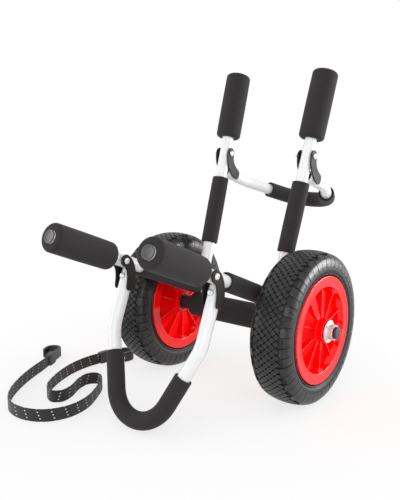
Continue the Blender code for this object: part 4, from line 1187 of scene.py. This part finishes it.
def socket_of(width):
    """Turns a circle into a hexagon of that width across its flats."""
    def shaped(angle, radius, height):
        if radius > width * 0.6:
            return radius
        turn = (angle + math.pi / 6) % (math.pi / 3) - math.pi / 6
        return radius / math.cos(turn) * 0.95
    return shaped


def bolt_profile(head, rise, well):
    """A domed head above zero with a socket, and a short shank below."""
    dome = arc(0, 0, 1.0, 0, 62, 8)
    profile = [(0.0029, -0.010), (0.0029, 0), (head - 0.0003, 0)]
    profile += [(head * c, rise * (0.22 + 0.88 * s)) for c, s in dome]
    return profile + [(well, rise * 0.98), (well, rise * 0.45), (0, rise * 0.40)]


# From the middle of a leg to just outside its bracket's plate
OUTSIDE = ALONG_X * (PLATE_PITCH + PLATE / 2 + FIT)
for kind in BARS:
    for label, side in SIDES:
        bolt = turned(f"{kind}_button_{label}", bolt_profile(0.00625, 0.0040, 0.0022),
                      aligned(on_leg(kind, side) + OUTSIDE, ALONG_X), "zinc", ripple=socket_of(0.0044))
        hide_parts(f"{kind}_bolt_{label}")
        back = on_leg(kind, side) - OUTSIDE
        work = bmesh.new()
        add_plate(work, hexagon(0.0105), 0.005, aligned(back - ALONG_X * 0.0025, -ALONG_X), 0.0005)
        add_turned(work, [(0.0029, -0.001), (0.0029, 0.0031), (0.0025, 0.0036), (0, 0.0036)],
                   aligned(back - ALONG_X * 0.0050, -ALONG_X), 20)
        nut = finished(f"{kind}_hex_{label}", work, "zinc", sharp=20)
        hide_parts(f"{kind}_nut_{label}")

DOME = [(0.0024, -0.004), (0.0024, 0), (0.0060, 0)]
DOME += [(0.00625 * c, 0.0042 * (0.15 + 0.85 * s)) for c, s in arc(0, 0, 1.0, 0, 90, 10)]
for label, side in SIDES:
    along_tube = BARS["front_stand"][1]
    seat = on_leg("front_stand", side, STAND_LOBE.x, LEG_END + 0.0145) - along_tube * (TUBE_R + FIT)
    screw = turned(f"stand_dome_{label}", DOME, aligned(seat, -along_tube), "zinc", "front_stand")
    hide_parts(f"stand_screw_{label}")
print("bolts, nuts and screws")

# %% [markdown]
# The strap's hooks
# Each end of the strap has a moulded hook: a ferrule block that grips the band, and a J of
# channel section, with raised edges and a hollow between them, which is how such a hook stays
# stiff with little plastic. The channel's section is swept along the hook's line.

# %% Hooks
BLOCK_WIDTH, BLOCK_TALL = 0.015, 0.026
HOOK_WIDTH, HOOK_WALL, HOOK_RADIUS = 0.022, 0.0065, 0.016
# The block's sections, as (distance from the band's end, share of its width and of its height)
BLOCK_SECTIONS = [(FIT, 0.34, 0.40), (0.0010, 0.42, 0.46), (0.0070, 0.50, 0.50),
                  (0.0270, 0.50, 0.50), (0.0282, 0.44, 0.46)]
BLOCK_CORNERS = [(-1, -0.86), (-0.80, -1), (0.80, -1), (1, -0.86),
                 (1, 0.86), (0.80, 1), (-0.80, 1), (-1, 0.86)]


def hook_line(end, forward, hand):
    """The middle line of a J on the floor, from inside its block to its tip."""
    aside = forward.orthogonal() * hand
    line = [end + forward * (FIT + d) for d in (0.012, 0.030, 0.046, 0.064)]
    centre = line[-1] + aside * HOOK_RADIUS
    for angle in (math.pi * k / 24 for k in range(1, 25)):
        line.append(centre + HOOK_RADIUS * (forward * math.sin(angle) - aside * math.cos(angle)))
    return line + [line[-1] - forward * d for d in (0.007, 0.0125, 0.0140)]


def add_channel(work, line, hand):
    """Sweeps a channel, hollow on its inner side, along a flat line."""
    rings = []
    last = len(line) - 1
    for i, point in enumerate(line):
        heading = (line[min(i + 1, last)] - line[max(i - 1, 0)]).normalized()
        inner = heading.orthogonal() * hand
        share = 0.80 if i == last else 1.0
        wide, wall = HOOK_WIDTH / 2 * share, HOOK_WALL / 2 * share
        half = [(wide - 0.001, -wall), (wide, -wall + 0.001), (wide, wall - 0.0006),
                (wide - 0.0006, wall), (wide - 0.0032, wall), (wide - 0.0042, 0.0)]
        section = half + [(-u, v) for u, v in reversed(half)]
        rings.append([work.verts.new(on_floor @ Vector((*(point + inner * v), u - 0.0012)))
                      for u, v in section])
    bridge(work, rings, caps=True)


def add_ferrule(work, end, forward):
    """The block that grips the band: tapered towards the strap, with chamfered edges."""
    aside = forward.orthogonal()
    rings = []
    for d, w, h in BLOCK_SECTIONS:
        rings.append([work.verts.new(on_floor @ Vector((*(end + forward * d + aside * u * w * BLOCK_WIDTH),
                                                        v * h * BLOCK_TALL + 0.0005)))
                      for u, v in BLOCK_CORNERS])
    bridge(work, rings, caps=True)


flat_line = smooth_route(STRAP_ROUTE, 2)
for label, (end, before), hand in (("left", flat_line[:2], -1), ("right", flat_line[:-3:-1], 1)):
    forward = (end - before).normalized()
    work = bmesh.new()
    add_channel(work, hook_line(end, forward, hand), hand)
    add_ferrule(work, end, forward)
    hook = finished(f"hook_{label}", work, "plastic_black", sharp=30)
    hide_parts(f"strap_hook_{label}")
print("two hooks")

# %% [markdown]
# Pieces kept from CAD
# The axle, its two bolts and the bushes in the hubs are hidden but for an edge here and there,
# and their CAD shapes are right. They stay, and only their materials change.

# %% Finishes of the kept pieces
KEPT = {"axle": "zinc"}
for label, side in SIDES:
    KEPT[f"frame_bolt_{label}"] = "zinc"
    for place in ("inner", "outer"):
        KEPT[f"hub_bush_{place}_{label}"] = "plastic_black"
for node, kind in KEPT.items():
    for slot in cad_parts[node].material_slots:
        slot.material = FINISHES[kind]
print(f"{len(KEPT)} CAD nodes keep their shape")

# %% [markdown]
# The studio
# The photograph is a cut-out on white, under large soft lamps. A pale floor keeps a faint
# shadow, so that the cart stands on something, and the world behind it is white to the camera and
# to mirror rays but only gives a plain level of light to the object. The lamps' total is set so
# that a colour renders about as bright as it is written.

# %% Floor and world
MIRROR_RAYS = ("Is Glossy Ray", "Is Transmission Ray")


def seen_rays(nodes):
    """1 for what the camera sees, straight or in a mirror or through glass, and 0 for all else."""
    rays = nodes.node("ShaderNodeLightPath", output="Is Camera Ray")
    for kind in MIRROR_RAYS:
        rays = rays.larger(nodes.node("ShaderNodeLightPath", output=kind))
    return rays


def make_floor():
    """A round floor that is white far away and keeps a faint shadow near the cart."""
    work = bmesh.new()
    bmesh.ops.create_circle(work, cap_ends=True, radius=6.0, segments=96)
    floor = mesh_object("floor", work)
    floor.location = (0, 0, -0.0001)
    finish = Finish("studio_floor", 0.9)
    finish.surface(Base_Color=finish.mixed(finish.grain(3.0), (0.80, 0.80, 0.80), (0.82, 0.82, 0.82)))
    diffuse = Socket(finish, finish.shader.outputs[0])
    lift = finish.node("ShaderNodeEmission", None, {"Color": (1, 1, 1), "Strength": 1.19})
    white = finish.node("ShaderNodeEmission", None, {"Color": (1, 1, 1), "Strength": 1.0})
    near = finish.node("ShaderNodeMixShader", None, {0: 0.60, 1: diffuse, 2: lift})
    away = finish.node("ShaderNodeVectorMath", {"operation": "LENGTH"}, {0: finish.place()}, "Value")
    far = finish.node("ShaderNodeMapRange", {"interpolation_type": "SMOOTHSTEP"},
                      {"Value": away, "From Min": 0.35, "From Max": 0.85}, "Result")
    seen = finish.node("ShaderNodeMixShader", None, {0: far, 1: near, 2: white})
    shown = finish.node("ShaderNodeMixShader", None, {0: seen_rays(finish), 1: diffuse, 2: seen})
    finish.feed(finish.tree.nodes["Material Output"].inputs["Surface"], shown)
    floor.data.materials.append(finish.material)


def make_world(level):
    """White to the camera and to mirror rays, and a plain level of light to the cart."""
    world = bpy.data.worlds.new("studio")
    bpy.context.scene.world = world
    world.use_nodes = True
    sky = Nodes(world.node_tree)
    background = sky.tree.nodes["Background"]
    sky.feed(background.inputs["Color"], (1, 1, 1))
    strength = sky.node("ShaderNodeMix", None, {0: seen_rays(sky), 2: level, 3: 1.0})
    sky.feed(background.inputs["Strength"], strength)


def add_lamp(name, place, size, power):
    """A square soft lamp that looks at the cart's middle."""
    lamp = bpy.data.objects.new(name, bpy.data.lights.new(name, "AREA"))
    lamp.data.size = size
    lamp.data.energy = power
    lamp.location = place
    lamp.rotation_euler = (Vector((0, 0, 0.3)) - Vector(place)).to_track_quat("-Z", "Y").to_euler()
    bpy.context.scene.collection.objects.link(lamp)


make_floor()
make_world(0.54)
add_lamp("key", (2.6, -3.6, 1.4), 5.0, 135.0)
add_lamp("side", (1.65, 1.9, 0.40), 1.0, 46.0)
add_lamp("fill", (-2.8, -1.6, 0.9), 2.4, 36.0)
bpy.context.scene.view_settings.view_transform = "Standard"
print("studio is lit")
